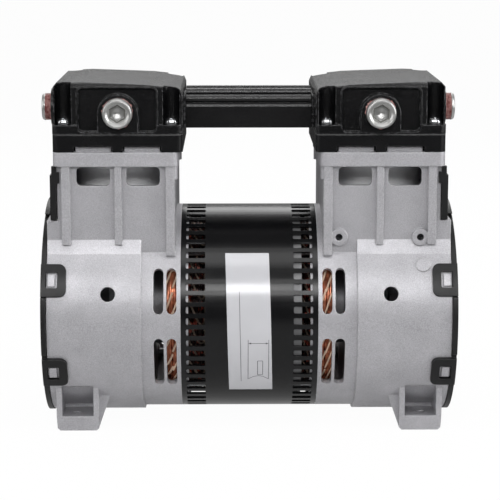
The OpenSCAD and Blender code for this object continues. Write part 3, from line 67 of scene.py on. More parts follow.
def mathNode(tree, operation, first, second=None):
    node = tree.nodes.new("ShaderNodeMath")
    node.operation = operation
    feedSocket(tree, node.inputs[0], first)
    if second is not None:
        feedSocket(tree, node.inputs[1], second)
    return node.outputs[0]


def rangeNode(tree, value, low, high, toLow=0.0, toHigh=1.0):
    node = tree.nodes.new("ShaderNodeMapRange")
    sockets = ("Value", "From Min", "From Max", "To Min", "To Max")
    for socket, given in zip(sockets, (value, low, high, toLow, toHigh)):
        feedSocket(tree, node.inputs[socket], given)
    return node.outputs["Result"]


# Camera, light and stage

cameraSetup = {
    "place": (-0.0117, -1.1508, 0.3158), "tiltDown": 10.4, "turn": -0.5825,
    "lens": 131.6, "sensor": 36, "shiftX": 0.0032, "clip": (0.05, 20),
}


def makeCamera(values):
    data = bpy.data.cameras.new("photoCamera")
    data.lens, data.sensor_width = values["lens"], values["sensor"]
    data.shift_x = values["shiftX"]
    data.clip_start, data.clip_end = values["clip"]
    camera = bpy.data.objects.new("photoCamera", data)
    camera.location = values["place"]
    camera.rotation_euler = (math.radians(90 - values["tiltDown"]), 0, math.radians(values["turn"]))
    bpy.context.scene.collection.objects.link(camera)
    bpy.context.scene.camera = camera


lampSetup = {
    "aim": (0, 0, 0.1),
    # place, width, height, watts
    "lamps": {
        "overheadBox": ((0, 0.5, 1.2), 1.2, 0.35, 3),
        "leftBox": ((-1.15, -0.35, 0.55), 0.5, 0.9, 3.8),
        "rightBox": ((1.15, -0.35, 0.55), 0.5, 0.9, 9),
        "highStrip": ((0, -0.56, 1.24), 1.4, 0.46, 4.6),
        "lowStrip": ((0, -1.15, 0.69), 1.5, 0.22, 8.5),
        "backBox": ((0, 1.2, 0.9), 1.4, 0.5, 5),
    },
}


def makeLamps(values):
    for name, (place, width, height, watts) in values["lamps"].items():
        data = bpy.data.lights.new(name, "AREA")
        data.shape, data.size, data.size_y, data.energy = "RECTANGLE", width, height, watts
        lamp = bpy.data.objects.new(name, data)
        lamp.location = place
        lamp.rotation_euler = (Vector(values["aim"]) - Vector(place)).to_track_quat("-Z", "Y").to_euler()
        bpy.context.scene.collection.objects.link(lamp)


# Rays that see the backdrop straight or through glass, and rays that see it mirrored
def seenRays(tree):
    path = tree.nodes.new("ShaderNodeLightPath")
    direct = mathNode(tree, "MAXIMUM", path.outputs["Is Camera Ray"], path.outputs["Is Transmission Ray"])
    return direct, path.outputs["Is Glossy Ray"]


worldSetup = {"ambient": 0.42, "mirroredFront": 0.04, "mirroredBack": 0.33, "frontToBack": (-0.1, 0.5)}


# White where the camera looks straight at it. Reflections see it brighter behind the machine than in front.
def makeWorld(values):
    world = bpy.data.worlds.new("paleRoom")
    bpy.context.scene.world = world
    world.use_nodes = True
    tree = world.node_tree
    tree.nodes.clear()
    direct, glossy = seenRays(tree)
    place = tree.nodes.new("ShaderNodeTexCoord")
    split = tree.nodes.new("ShaderNodeSeparateXYZ")
    tree.links.new(place.outputs["Generated"], split.inputs[0])
    mirrored = rangeNode(tree, split.outputs["Y"], *values["frontToBack"],
                         values["mirroredFront"], values["mirroredBack"])
    strength = rangeNode(tree, glossy, 0.0, 1.0, values["ambient"], mirrored)
    back = tree.nodes.new("ShaderNodeBackground")
    back.inputs["Color"].default_value = (1, 1, 1, 1)
    tree.links.new(rangeNode(tree, direct, 0.0, 1.0, strength, 1.0), back.inputs["Strength"])
    out = tree.nodes.new("ShaderNodeOutputWorld")
    tree.links.new(back.outputs[0], out.inputs["Surface"])


floorSetup = {
    "half": 6.0, "tone": 0.8, "glow": 0.97,
    "mirroredNear": 0.5, "mirroredFar": 0.05, "near": 0.3, "far": 0.85,
}


# The floor glows for the camera, and keeps some shade, so that the machine's shadow shows on it.
# Reflections see it bright near the machine and dim further off, as a table in a dark room would be.
def makeFloor(values):
    size, tone = values["half"], values["tone"]
    corners = [(-size, -size, 0), (size, -size, 0), (size, size, 0), (-size, size, 0)]
    mesh = bpy.data.meshes.new("floor")
    mesh.from_pydata(corners, [], [(0, 1, 2, 3)])
    floor = bpy.data.objects.new("floor", mesh)
    bpy.context.scene.collection.objects.link(floor)
    material = bpy.data.materials.new("paleFloor")
    material.use_nodes = True
    tree = material.node_tree
    tree.nodes.clear()
    diffuse = tree.nodes.new("ShaderNodeBsdfDiffuse")
    diffuse.inputs["Color"].default_value = (tone, tone, tone, 1)
    glow = tree.nodes.new("ShaderNodeEmission")
    glow.inputs["Color"].default_value = (1, 1, 1, 1)
    direct, glossy = seenRays(tree)
    place = tree.nodes.new("ShaderNodeTexCoord")
    distance = tree.nodes.new("ShaderNodeVectorMath")
    distance.operation = "LENGTH"
    tree.links.new(place.outputs["Object"], distance.inputs[0])
    mirrored = rangeNode(tree, distance.outputs["Value"], values["near"], values["far"],
                         values["mirroredNear"], values["mirroredFar"])
    tree.links.new(rangeNode(tree, glossy, 0.0, 1.0, 1.0, mirrored), glow.inputs["Strength"])
    mix = tree.nodes.new("ShaderNodeMixShader")
    share = mathNode(tree, "MULTIPLY", direct, values["glow"])
    tree.links.new(mathNode(tree, "MAXIMUM", share, glossy), mix.inputs["Fac"])
    tree.links.new(diffuse.outputs[0], mix.inputs[1])
    tree.links.new(glow.outputs[0], mix.inputs[2])
    out = tree.nodes.new("ShaderNodeOutputMaterial")
    tree.links.new(mix.outputs[0], out.inputs["Surface"])
    mesh.materials.append(material)


makeCamera(cameraSetup)
makeLamps(lampSetup)
makeWorld(worldSetup)
makeFloor(floorSetup)
bpy.context.scene.view_settings.view_transform = "Standard"
print("camera, lamps and floor made")


# Shader groups shared by the finishes

def newGroup(name, inputs, outputs):
    group = bpy.data.node_groups.new(name, "ShaderNodeTree")
    for label, kind, value in inputs:
        group.interface.new_socket(label, in_out="INPUT", socket_type=kind).default_value = value
    for label, kind in outputs:
        group.interface.new_socket(label, in_out="OUTPUT", socket_type=kind)
    return group, group.nodes.new("NodeGroupInput"), group.nodes.new("NodeGroupOutput")


def noiseNode(tree, scale, detail, vector, roughness=0.55):
    node = tree.nodes.new("ShaderNodeTexNoise")
    node.inputs["Detail"].default_value = detail
    node.inputs["Roughness"].default_value = roughness
    tree.links.new(scale, node.inputs["Scale"])
    tree.links.new(vector, node.inputs["Vector"])
    return node.outputs["Fac"]


edgeWearAndSheenSetup = {
    "radius": 0.0006, "scale": 400, "samples": 4, "detail": 4, "turned": (0.99, 0.8), "patchy": (0.42, 0.62),
}


# The rounded edge's normal, and a patchy mask of where it turns away from the face. The mask lays edge wear,
# and a painted highlight on the black heads and plates
def makeRoundedEdge(values):
    group, given, out = newGroup("roundedEdge", [
        ("Radius", "NodeSocketFloat", values["radius"]), ("Scale", "NodeSocketFloat", values["scale"])],
        [("Normal", "NodeSocketVector"), ("RubbedAndSheen", "NodeSocketFloat")])
    bevel = group.nodes.new("ShaderNodeBevel")
    bevel.samples = values["samples"]
    group.links.new(given.outputs["Radius"], bevel.inputs["Radius"])
    geometry = group.nodes.new("ShaderNodeNewGeometry")
    dot = group.nodes.new("ShaderNodeVectorMath")
    dot.operation = "DOT_PRODUCT"
    group.links.new(bevel.outputs["Normal"], dot.inputs[0])
    group.links.new(geometry.outputs["Normal"], dot.inputs[1])
    turned = rangeNode(group, dot.outputs["Value"], *values["turned"])
    place = group.nodes.new("ShaderNodeTexCoord")
    noise = noiseNode(group, given.outputs["Scale"], values["detail"], place.outputs["Object"])
    rubbedAndSheen = mathNode(group, "MULTIPLY", turned, rangeNode(group, noise, *values["patchy"]))
    group.links.new(bevel.outputs["Normal"], out.inputs["Normal"])
    group.links.new(rubbedAndSheen, out.inputs["RubbedAndSheen"])
    return group


grainSetup = {"fine": 1500, "fineDetail": 2, "broad": 45, "broadDetail": 4, "stretch": (1, 1, 1)}


# Fine height for the bump, and a broad cloud for tone and roughness
def makeSurfaceGrain(values):
    group, given, out = newGroup("surfaceGrain", [
        ("Fine", "NodeSocketFloat", values["fine"]), ("Broad", "NodeSocketFloat", values["broad"]),
        ("Stretch", "NodeSocketVector", values["stretch"])],
        [("Height", "NodeSocketFloat"), ("Cloud", "NodeSocketFloat")])
    place = group.nodes.new("ShaderNodeTexCoord")
    stretch = group.nodes.new("ShaderNodeVectorMath")
    stretch.operation = "MULTIPLY"
    group.links.new(place.outputs["Object"], stretch.inputs[0])
    group.links.new(given.outputs["Stretch"], stretch.inputs[1])
    fine = noiseNode(group, given.outputs["Fine"], values["fineDetail"], stretch.outputs["Vector"])
    broad = noiseNode(group, given.outputs["Broad"], values["broadDetail"], place.outputs["Object"])
    group.links.new(fine, out.inputs["Height"])
    group.links.new(broad, out.inputs["Cloud"])
    return group


groups = {"roundedEdge": makeRoundedEdge(edgeWearAndSheenSetup), "surfaceGrain": makeSurfaceGrain(grainSetup)}

# One entry for each finish. Grain and broad cloud are waves per metre, depth and edge are metres.
finishes = {
    "castAluminium": {
        "tone": (0.40, 0.395, 0.415), "edgeWearAndSheen": (0.62, 0.62, 0.63), "metal": 0.45, "rough": (0.36, 0.46),
        "cloud": 0.09, "grain": 2100, "depth": 0.00009, "edge": 0.0009, "fleck": 0.18},
    "shellPaint": {
        "tone": (0.0025, 0.0025, 0.003), "edgeWearAndSheen": (0.01, 0.01, 0.01), "metal": 0.0, "rough": (0.2, 0.26),
        "cloud": 0.15, "grain": 1200, "depth": 0.00002, "edge": 0.0003, "shine": 0.42},
    "lamination": {
        "tone": (0.22, 0.22, 0.225), "edgeWearAndSheen": (0.4, 0.4, 0.4), "metal": 0.8, "rough": (0.45, 0.6),
        "cloud": 0.2, "grain": 900, "depth": 0.00008, "edge": 0.0003, "stretch": (4, 0.2, 0.2)},
    "copperEnamel": {
        "tone": (0.34, 0.07, 0.03), "pale": (0.95, 0.36, 0.2), "edgeWearAndSheen": (0.9, 0.5, 0.36), "metal": 0.55,
        "rough": (0.12, 0.25), "cloud": 0.45, "broad": 260, "grain": 600, "depth": 0.00003,
        "edge": 0.0002},
    # Painted shade: strands inside the shell are painted near black for the shade there, with sparse paler
    # patches as painted glints
    "copperPaintedShade": {
        "tone": (0.035, 0.012, 0.01), "pale": (0.42, 0.08, 0.05), "edgeWearAndSheen": (0.3, 0.1, 0.05), "metal": 0.4,
        "rough": (0.14, 0.3), "cloud": 0.7, "broad": 210, "sparse": True, "grain": 500, "depth": 0.00003,
        "edge": 0.0002},
    # Painted shade: the cord is painted darker inside the shell, where shade falls
    "lacingCord": {
        "tone": (0.76, 0.56, 0.42), "edgeWearAndSheen": (0.82, 0.7, 0.56), "metal": 0.0, "rough": (0.5, 0.7),
        "cloud": 0.3, "grain": 2500, "depth": 0.0001, "edge": 0.0002, "paintedShadeWithin": 0.0375},
    "bearingSteel": {
        "tone": (0.62, 0.63, 0.65), "edgeWearAndSheen": (0.7, 0.7, 0.7), "metal": 1.0, "rough": (0.16, 0.26),
        "cloud": 0.1, "grain": 2500, "depth": 0.00001, "edge": 0.0003},
    "machinedSteel": {
        "tone": (0.48, 0.49, 0.5), "edgeWearAndSheen": (0.6, 0.6, 0.6), "metal": 1.0, "rough": (0.26, 0.38),
        "cloud": 0.15, "grain": 2500, "depth": 0.00002, "edge": 0.0003, "stretch": (3, 0.3, 0.3)},
    "cageAluminium": {
        "tone": (0.6, 0.61, 0.62), "edgeWearAndSheen": (0.7, 0.7, 0.7), "metal": 0.9, "rough": (0.4, 0.5),
        "cloud": 0.15, "grain": 1500, "depth": 0.00004, "edge": 0.0004},
    "eccentricIron": {
        "tone": (0.2, 0.2, 0.21), "edgeWearAndSheen": (0.36, 0.36, 0.36), "metal": 0.8, "rough": (0.42, 0.55),
        "cloud": 0.2, "grain": 1300, "depth": 0.00006, "edge": 0.0004},
    "blackenedScrew": {
        "tone": (0.03, 0.03, 0.032), "edgeWearAndSheen": (0.14, 0.14, 0.14), "metal": 0.7, "rough": (0.3, 0.42),
        "cloud": 0.2, "grain": 1800, "depth": 0.00002, "edge": 0.0003},
    "rodAluminium": {
        "tone": (0.55, 0.56, 0.57), "edgeWearAndSheen": (0.7, 0.7, 0.7), "metal": 0.9, "rough": (0.36, 0.46),
        "cloud": 0.15, "grain": 1500, "depth": 0.00004, "edge": 0.0004},
    "cupPolymer": {
        "tone": (0.03, 0.03, 0.031), "edgeWearAndSheen": (0.06, 0.06, 0.06), "metal": 0.0, "rough": (0.4, 0.5),
        "cloud": 0.2, "grain": 1500, "depth": 0.00003, "edge": 0.0003},
    # A light grey sleeve, painted paler still and without metal sheen, as painted light for what reaches it
    # through the windows
    "sleeveAnodisedPaintedLight": {
        "tone": (0.86, 0.86, 0.87), "edgeWearAndSheen": (0.9, 0.9, 0.9), "metal": 0.0, "rough": (0.4, 0.5),
        "cloud": 0.1, "grain": 1500, "depth": 0.00002, "edge": 0.0003},
    "sealRubber": {
        "tone": (0.015, 0.015, 0.015), "edgeWearAndSheen": (0.04, 0.04, 0.04), "metal": 0.0, "rough": (0.55, 0.7),
        "cloud": 0.2, "grain": 1800, "depth": 0.00003, "edge": 0.0003},
    # The lighter edge colour here is a painted highlight on the plate's edges
    "platePaint": {
        "tone": (0.004, 0.004, 0.0045), "edgeWearAndSheen": (0.05, 0.05, 0.05), "metal": 0.0, "rough": (0.2, 0.3),
        "cloud": 0.15, "grain": 1300, "depth": 0.00009, "edge": 0.0009, "shine": 0.4},
    "fibreGasket": {
        "tone": (0.05, 0.05, 0.05), "edgeWearAndSheen": (0.09, 0.09, 0.09), "metal": 0.0, "rough": (0.7, 0.85),
        "cloud": 0.2, "grain": 2200, "depth": 0.00006, "edge": 0.0002},
    # The lighter edge colour here is a painted highlight, standing for the sky's reflection on the edges
    "headPaint": {
        "tone": (0.003, 0.003, 0.0034), "edgeWearAndSheen": (0.1, 0.1, 0.105), "metal": 0.0, "rough": (0.17, 0.26),
        "cloud": 0.15, "grain": 1300, "depth": 0.00018, "edge": 0.0012, "shine": 0.42},
    "zincScrew": {
        "tone": (0.66, 0.67, 0.69), "edgeWearAndSheen": (0.8, 0.8, 0.8), "metal": 1.0, "rough": (0.18, 0.28),
        "cloud": 0.1, "grain": 2200, "depth": 0.00001, "edge": 0.0003},
    "barAnodised": {
        "tone": (0.004, 0.004, 0.0045), "edgeWearAndSheen": (0.03, 0.03, 0.03), "metal": 0.0, "rough": (0.18, 0.26),
        "cloud": 0.15, "grain": 1300, "depth": 0.00012, "edge": 0.0005, "shine": 0.7},
    "platedPlug": {
        "tone": (0.5, 0.5, 0.49), "edgeWearAndSheen": (0.75, 0.75, 0.75), "metal": 0.85, "rough": (0.27, 0.37),
        "cloud": 0.12, "grain": 1800, "depth": 0.00004, "edge": 0.0005},
    "fanPlastic": {
        "tone": (0.016, 0.016, 0.017), "edgeWearAndSheen": (0.04, 0.04, 0.04), "metal": 0.0, "rough": (0.45, 0.58),
        "cloud": 0.2, "grain": 1600, "depth": 0.00004, "edge": 0.0003},
    "labelFilm": {
        "tone": (0.45, 0.45, 0.47), "edgeWearAndSheen": (0.45, 0.45, 0.47), "metal": 0.06, "rough": (0.16, 0.18),
        "cloud": 0.02, "grain": 1200, "depth": 0.000003, "edge": 0.0},
    "labelInk": {
        "tone": (0.03, 0.03, 0.035), "edgeWearAndSheen": (0.05, 0.05, 0.05), "metal": 0.0, "rough": (0.3, 0.4),
        "cloud": 0.1, "grain": 1200, "depth": 0.00001, "edge": 0.0001},
    "redSealant": {
        "tone": (0.22, 0.012, 0.012), "pale": (0.5, 0.3, 0.28), "edgeWearAndSheen": (0.5, 0.3, 0.28), "metal": 0.2,
        "rough": (0.3, 0.5), "cloud": 0.3, "broad": 420, "grain": 900, "depth": 0.0002, "edge": 0.0003},
    # Painted shade for the walls inside the hexagon socket
    "socketShade": {
        "tone": (0.13, 0.13, 0.12), "edgeWearAndSheen": (0.3, 0.3, 0.28), "metal": 0.6, "rough": (0.3, 0.45),
        "cloud": 0.2, "grain": 1200, "depth": 0.00003, "edge": 0.0002},
    "guardPlastic": {
        "tone": (0.008, 0.008, 0.0085), "edgeWearAndSheen": (0.04, 0.04, 0.04), "metal": 0.0, "rough": (0.34, 0.45),
        "cloud": 0.2, "grain": 1500, "depth": 0.00005, "edge": 0.0006, "shine": 0.35},
}


def mixColour(tree, factor, first, second):
    node = tree.nodes.new("ShaderNodeMix")
    node.data_type = "RGBA"
    tree.links.new(factor, node.inputs["Factor"])
    for socket, value in ((node.inputs[6], first), (node.inputs[7], second)):
        if isinstance(value, tuple):
            socket.default_value = (*value, 1)
        else:
            tree.links.new(value, socket)
    return node.outputs[2]


def scaleColour(tree, colour, factor):
    node = tree.nodes.new("ShaderNodeVectorMath")
    node.operation = "SCALE"
    tree.links.new(colour, node.inputs[0])
    tree.links.new(factor, node.inputs["Scale"])
    return node.outputs["Vector"]


shadeSetup = {
    "evenCloud": (0.3, 0.7), "sparseCloud": (0.52, 0.66), "fleckHeight": (0.35, 0.65),
    "paintedShadeLevel": 0.14, "paintedShadeFade": 0.002, "shine": 0.5,
}


# Painted shade: darker up to a distance from the middle of the machine, for the shade inside the shell
def paintedInnerShade(tree, reach, values):
    place = tree.nodes.new("ShaderNodeTexCoord")
    split = tree.nodes.new("ShaderNodeSeparateXYZ")
    tree.links.new(place.outputs["Object"], split.inputs[0])
    distance = mathNode(tree, "ABSOLUTE", split.outputs["X"])
    return rangeNode(tree, distance, reach, reach + values["paintedShadeFade"], values["paintedShadeLevel"], 1.0)


def makeFinish(name, values, shades):
    material = bpy.data.materials.new(name)
    material.use_nodes = True
    tree = material.node_tree
    shader = tree.nodes["Principled BSDF"]
    edge = tree.nodes.new("ShaderNodeGroup")
    edge.node_tree = groups["roundedEdge"]
    edge.inputs["Radius"].default_value = values["edge"]
    grain = tree.nodes.new("ShaderNodeGroup")
    grain.node_tree = groups["surfaceGrain"]
    grain.inputs["Fine"].default_value = values["grain"]
    grain.inputs["Stretch"].default_value = values.get("stretch", grainSetup["stretch"])
    grain.inputs["Broad"].default_value = values.get("broad", grainSetup["broad"])
    cloud, height = grain.outputs["Cloud"], grain.outputs["Height"]
    dark = tuple(c * (1 - values["cloud"]) for c in values["tone"])
    light = values.get("pale", tuple(min(1, c * (1 + values["cloud"])) for c in values["tone"]))
    low, high = shades["sparseCloud" if values.get("sparse") else "evenCloud"]
    base = mixColour(tree, rangeNode(tree, cloud, low, high), dark, light)
    if "fleck" in values:
        fleck = values["fleck"]
        base = scaleColour(tree, base, rangeNode(tree, height, *shades["fleckHeight"], 1 - fleck, 1 + fleck))
    # Painted shade near the middle of the machine
    if "paintedShadeWithin" in values:
        base = scaleColour(tree, base, paintedInnerShade(tree, values["paintedShadeWithin"], shades))
    # Edge colour: wear on most finishes, a painted highlight on the black heads and plates
    colour = mixColour(tree, edge.outputs["RubbedAndSheen"], base, values["edgeWearAndSheen"])
    tree.links.new(colour, shader.inputs["Base Color"])
    smooth, dull = values["rough"]
    tree.links.new(rangeNode(tree, cloud, *shades["evenCloud"], dull, smooth), shader.inputs["Roughness"])
    shader.inputs["Metallic"].default_value = values["metal"]
    shader.inputs["Specular IOR Level"].default_value = values.get("shine", shades["shine"])
    bump = tree.nodes.new("ShaderNodeBump")
    bump.inputs["Distance"].default_value = values["depth"]
    tree.links.new(height, bump.inputs["Height"])
    tree.links.new(edge.outputs["Normal"], bump.inputs["Normal"])
    tree.links.new(bump.outputs["Normal"], shader.inputs["Normal"])
    return material


made = {name: makeFinish(name, values, shadeSetup) for name, values in finishes.items()}
finishOfSlot = {
    "cast_body": "castAluminium", "black_shell": "shellPaint", "lamination": "lamination",
    "copper_wire": "copperEnamel", "lacing_cord": "lacingCord", "bearing_steel": "bearingSteel",
    "steel": "machinedSteel", "cage_aluminium": "cageAluminium", "eccentric_iron": "eccentricIron",
    "black_screw": "blackenedScrew", "rod_aluminium": "rodAluminium", "cup_polymer": "cupPolymer",
    "sleeve_aluminium": "sleeveAnodisedPaintedLight", "seal_rubber": "sealRubber", "black_plate": "platePaint",
    "gasket": "fibreGasket", "black_head": "headPaint", "zinc_screw": "zincScrew",
    "black_bar": "barAnodised", "plug_steel": "platedPlug", "fan_plastic": "fanPlastic",
    "guard_plastic": "guardPlastic",
}
for row in frame["record"]["subparts"]:
    mesh = cadNodes[row["node"]].data
    mesh.materials.clear()
    mesh.materials.append(made[finishOfSlot[row["material_slot"]]])
print("finishes made:", len(made))


# Mesh helpers: a shape collects vertices, faces and each face's material number

meshSetup = {"mergeWithin": 0.000002, "sharp": 38}


def newShape():
    return {"verts": [], "faces": [], "slots": []}


def addFace(shape, corners, slot=0):
    shape["faces"].append(tuple(corners))
    shape["slots"].append(slot)


# Rings of equal length are joined by quads. The slots are the material numbers of the bands between them.
def addRings(shape, rings, slots, closeAround=True, closeLong=False):
    first = len(shape["verts"])
    count = len(rings[0])
    for ring in rings:
        shape["verts"].extend(tuple(point) for point in ring)
    bands = len(rings) if closeLong else len(rings) - 1
    for band in range(bands):
        here, there = first + band * count, first + (band + 1) % len(rings) * count
        for k in range(count if closeAround else count - 1):
            after = (k + 1) % count
            addFace(shape, (here + k, here + after, there + after, there + k), slots[band % len(slots)])
    return first


def capRing(shape, start, count, slot=0, backwards=False):
    corners = list(range(start, start + count))
    addFace(shape, corners[::-1] if backwards else corners, slot)


# A tube along points. The second list holds a direction across the path at each point.
def addTube(shape, path, across, radius, sides, closed=False, slot=0, flat=1.0):
    rings = []
    last = len(path) - 1
    for i, point in enumerate(path):
        before = path[i - 1] if i > 0 or closed else path[i]
        after = path[(i + 1) % len(path)] if i < last or closed else path[i]
        along = (after - before).normalized()
        out = (across[i] - across[i].dot(along) * along).normalized()
        side = along.cross(out)
        rings.append([point + radius * (flat * math.cos(a) * out + math.sin(a) * side)
                      for a in (math.tau * k / sides for k in range(sides))])
    start = addRings(shape, rings, [slot], closeLong=closed)
    if not closed:
        capRing(shape, start, sides, slot, True)
        capRing(shape, start + last * sides, sides, slot)


def linkPiece(name, mesh, sharp):
    mesh.polygons.foreach_set("use_smooth", [True] * len(mesh.polygons))
    mesh.set_sharp_from_angle(angle=math.radians(sharp))
    piece = bpy.data.objects.new(name, mesh)
    bpy.context.scene.collection.objects.link(piece)
    return piece


def finishShape(name, shape, materials, sharp=meshSetup["sharp"]):
    mesh = bpy.data.meshes.new(name)
    mesh.from_pydata(shape["verts"], [], shape["faces"])
    for material in materials:
        mesh.materials.append(material)
    mesh.polygons.foreach_set("material_index", shape["slots"])
    work = bmesh.new()
    work.from_mesh(mesh)
    bmesh.ops.remove_doubles(work, verts=work.verts, dist=meshSetup["mergeWithin"])
    bmesh.ops.recalc_face_normals(work, faces=work.faces)
    work.to_mesh(mesh)
    work.free()
    return linkPiece(name, mesh, sharp)


def aboutShaft(x, r, angle):
    return Vector((x * mm, r * mm * math.sin(angle), r * mm * math.cos(angle)))


def sideMatrix(side):
    turned = Matrix.Rotation(0 if side > 0 else math.pi, 4, "Z")
    return Matrix.Translation((0, 0, machine["shaftHeight"] * mm)) @ turned


# Geometry Nodes: one tree repeats a piece in even turns, the other sets a piece on given points

def treeStart(name, inputs):
    tree = bpy.data.node_groups.new(name, "GeometryNodeTree")
    tree.interface.new_socket("Geometry", in_out="INPUT", socket_type="NodeSocketGeometry")
    sockets = {}
    for label, kind in inputs:
        sockets[label] = tree.interface.new_socket(label, in_out="INPUT", socket_type=kind).identifier
    tree.interface.new_socket("Geometry", in_out="OUTPUT", socket_type="NodeSocketGeometry")
    return tree, tree.nodes.new("NodeGroupInput"), sockets


def treeEnd(tree, given, instances):
    real = tree.nodes.new("GeometryNodeRealizeInstances")
    tree.links.new(instances, real.inputs["Geometry"])
    painted = tree.nodes.new("GeometryNodeSetMaterial")
    tree.links.new(real.outputs["Geometry"], painted.inputs["Geometry"])
    tree.links.new(given.outputs["Material"], painted.inputs["Material"])
    out = tree.nodes.new("NodeGroupOutput")
    tree.links.new(painted.outputs["Geometry"], out.inputs["Geometry"])


def randomTurn(tree, given):
    node = tree.nodes.new("FunctionNodeRandomValue")
    tree.links.new(mathNode(tree, "MULTIPLY", given.outputs["Spread"], -1.0), node.inputs[2])
    tree.links.new(given.outputs["Spread"], node.inputs[3])
    tree.links.new(given.outputs["Seed"], node.inputs["Seed"])
    return node.outputs[1]


def makeRepeatTree():
    tree, given, sockets = treeStart("repeatInTurns", [
        ("Count", "NodeSocketInt"), ("Turn", "NodeSocketFloat"),
        ("Spread", "NodeSocketFloat"), ("Seed", "NodeSocketInt"), ("Material", "NodeSocketMaterial")])
    index = tree.nodes.new("GeometryNodeInputIndex").outputs[0]
    points = tree.nodes.new("GeometryNodePoints")
    tree.links.new(given.outputs["Count"], points.inputs["Count"])
    turn = tree.nodes.new("ShaderNodeCombineXYZ")
    steady = mathNode(tree, "MULTIPLY", index, given.outputs["Turn"])
    tree.links.new(mathNode(tree, "ADD", steady, randomTurn(tree, given)), turn.inputs["X"])
    euler = tree.nodes.new("FunctionNodeEulerToRotation")
    tree.links.new(turn.outputs[0], euler.inputs[0])
    placed = tree.nodes.new("GeometryNodeInstanceOnPoints")
    tree.links.new(points.outputs[0], placed.inputs["Points"])
    tree.links.new(given.outputs["Geometry"], placed.inputs["Instance"])
    tree.links.new(euler.outputs[0], placed.inputs["Rotation"])
    treeEnd(tree, given, placed.outputs["Instances"])
    return tree, sockets


def makePointsTree():
    tree, given, sockets = treeStart("setOnPoints", [
        ("Piece", "NodeSocketObject"), ("Spread", "NodeSocketFloat"), ("Seed", "NodeSocketInt"),
        ("Material", "NodeSocketMaterial")])
    piece = tree.nodes.new("GeometryNodeObjectInfo")
    tree.links.new(given.outputs["Piece"], piece.inputs["Object"])
    turn = tree.nodes.new("ShaderNodeCombineXYZ")
    tree.links.new(randomTurn(tree, given), turn.inputs["Z"])
    euler = tree.nodes.new("FunctionNodeEulerToRotation")
    tree.links.new(turn.outputs[0], euler.inputs[0])
    placed = tree.nodes.new("GeometryNodeInstanceOnPoints")
    tree.links.new(given.outputs["Geometry"], placed.inputs["Points"])
    tree.links.new(piece.outputs["Geometry"], placed.inputs["Instance"])
    tree.links.new(euler.outputs[0], placed.inputs["Rotation"])
    treeEnd(tree, given, placed.outputs["Instances"])
    return tree, sockets


repeatTree, repeatSockets = makeRepeatTree()
pointsTree, pointsSockets = makePointsTree()


# The modifier's result becomes a plain mesh, and the object that carried it is removed
def growPiece(name, carrier, tree, sockets, values, matrix=Matrix(), sharp=meshSetup["sharp"]):
    modifier = carrier.modifiers.new("grow", "NODES")
    modifier.node_group = tree
    for label, value in values.items():
        modifier[sockets[label]] = value
    bpy.context.view_layer.update()
    ready = carrier.evaluated_get(bpy.context.evaluated_depsgraph_get())
    mesh = bpy.data.meshes.new_from_object(ready)
    mesh.name = name
    carrier.modifiers.remove(modifier)
    bpy.data.objects.remove(carrier)
    mesh.transform(matrix)
    return linkPiece(name, mesh, sharp)


# End windings: strands wound round a solid bundle, with the coils' waves in them

windings = {
    # millimetres; side 1 is the right end, side -1 the left
    "coreEnd": {1: 32.0, -1: 27.0}, "clear": 1.0, "end": 51.4, "inner": 38.6, "outer": 54.6, "corner": 4.2,
    "cornerSteps": 4, "coreStep": 2.5, "pitch": 1.5, "strand": 0.8, "strandSides": 5, "rings": 96,
    # waves along the shaft, then the ripple across it as a share, with its extra waves and its lead
    "wave": 0.75, "leastWave": 0.35, "poles": 5, "ripple": 0.5, "rippleMore": 3, "rippleLead": 2.3,
    # strands that sway together, and where the strands painted dark as shade inside the shell end
    "group": 5, "groupLead": 1.9, "leadSpread": 0.5, "paintedShadeUpTo": 38.5, "sharp": 80, "seed": 41,
}


# Evenly spaced points round a section with rounded corners
def sectionOutline(x0, x1, r0, r1, corner, step):
    points = []
    arcSteps = windings["cornerSteps"]
    for cx, cr, start in ((x1 - corner, r1 - corner, 90), (x1 - corner, r0 + corner, 0),
                          (x0 + corner, r0 + corner, -90), (x0 + corner, r1 - corner, -180)):
        for k in range(arcSteps + 1):
            a = math.radians(start - 90 * k / arcSteps)
            points.append(Vector((cx + corner * math.cos(a), cr + corner * math.sin(a))))
    points.append(points[0])
    lengths = [0.0]
    for a, b in zip(points, points[1:]):
        lengths.append(lengths[-1] + (b - a).length)
    count = round(lengths[-1] / step)
    found, k = [], 0
    for i in range(count):
        want = lengths[-1] * i / count
        while lengths[k + 1] < want:
            k += 1
        share = (want - lengths[k]) / (lengths[k + 1] - lengths[k])
        found.append(points[k].lerp(points[k + 1], share))
    return found


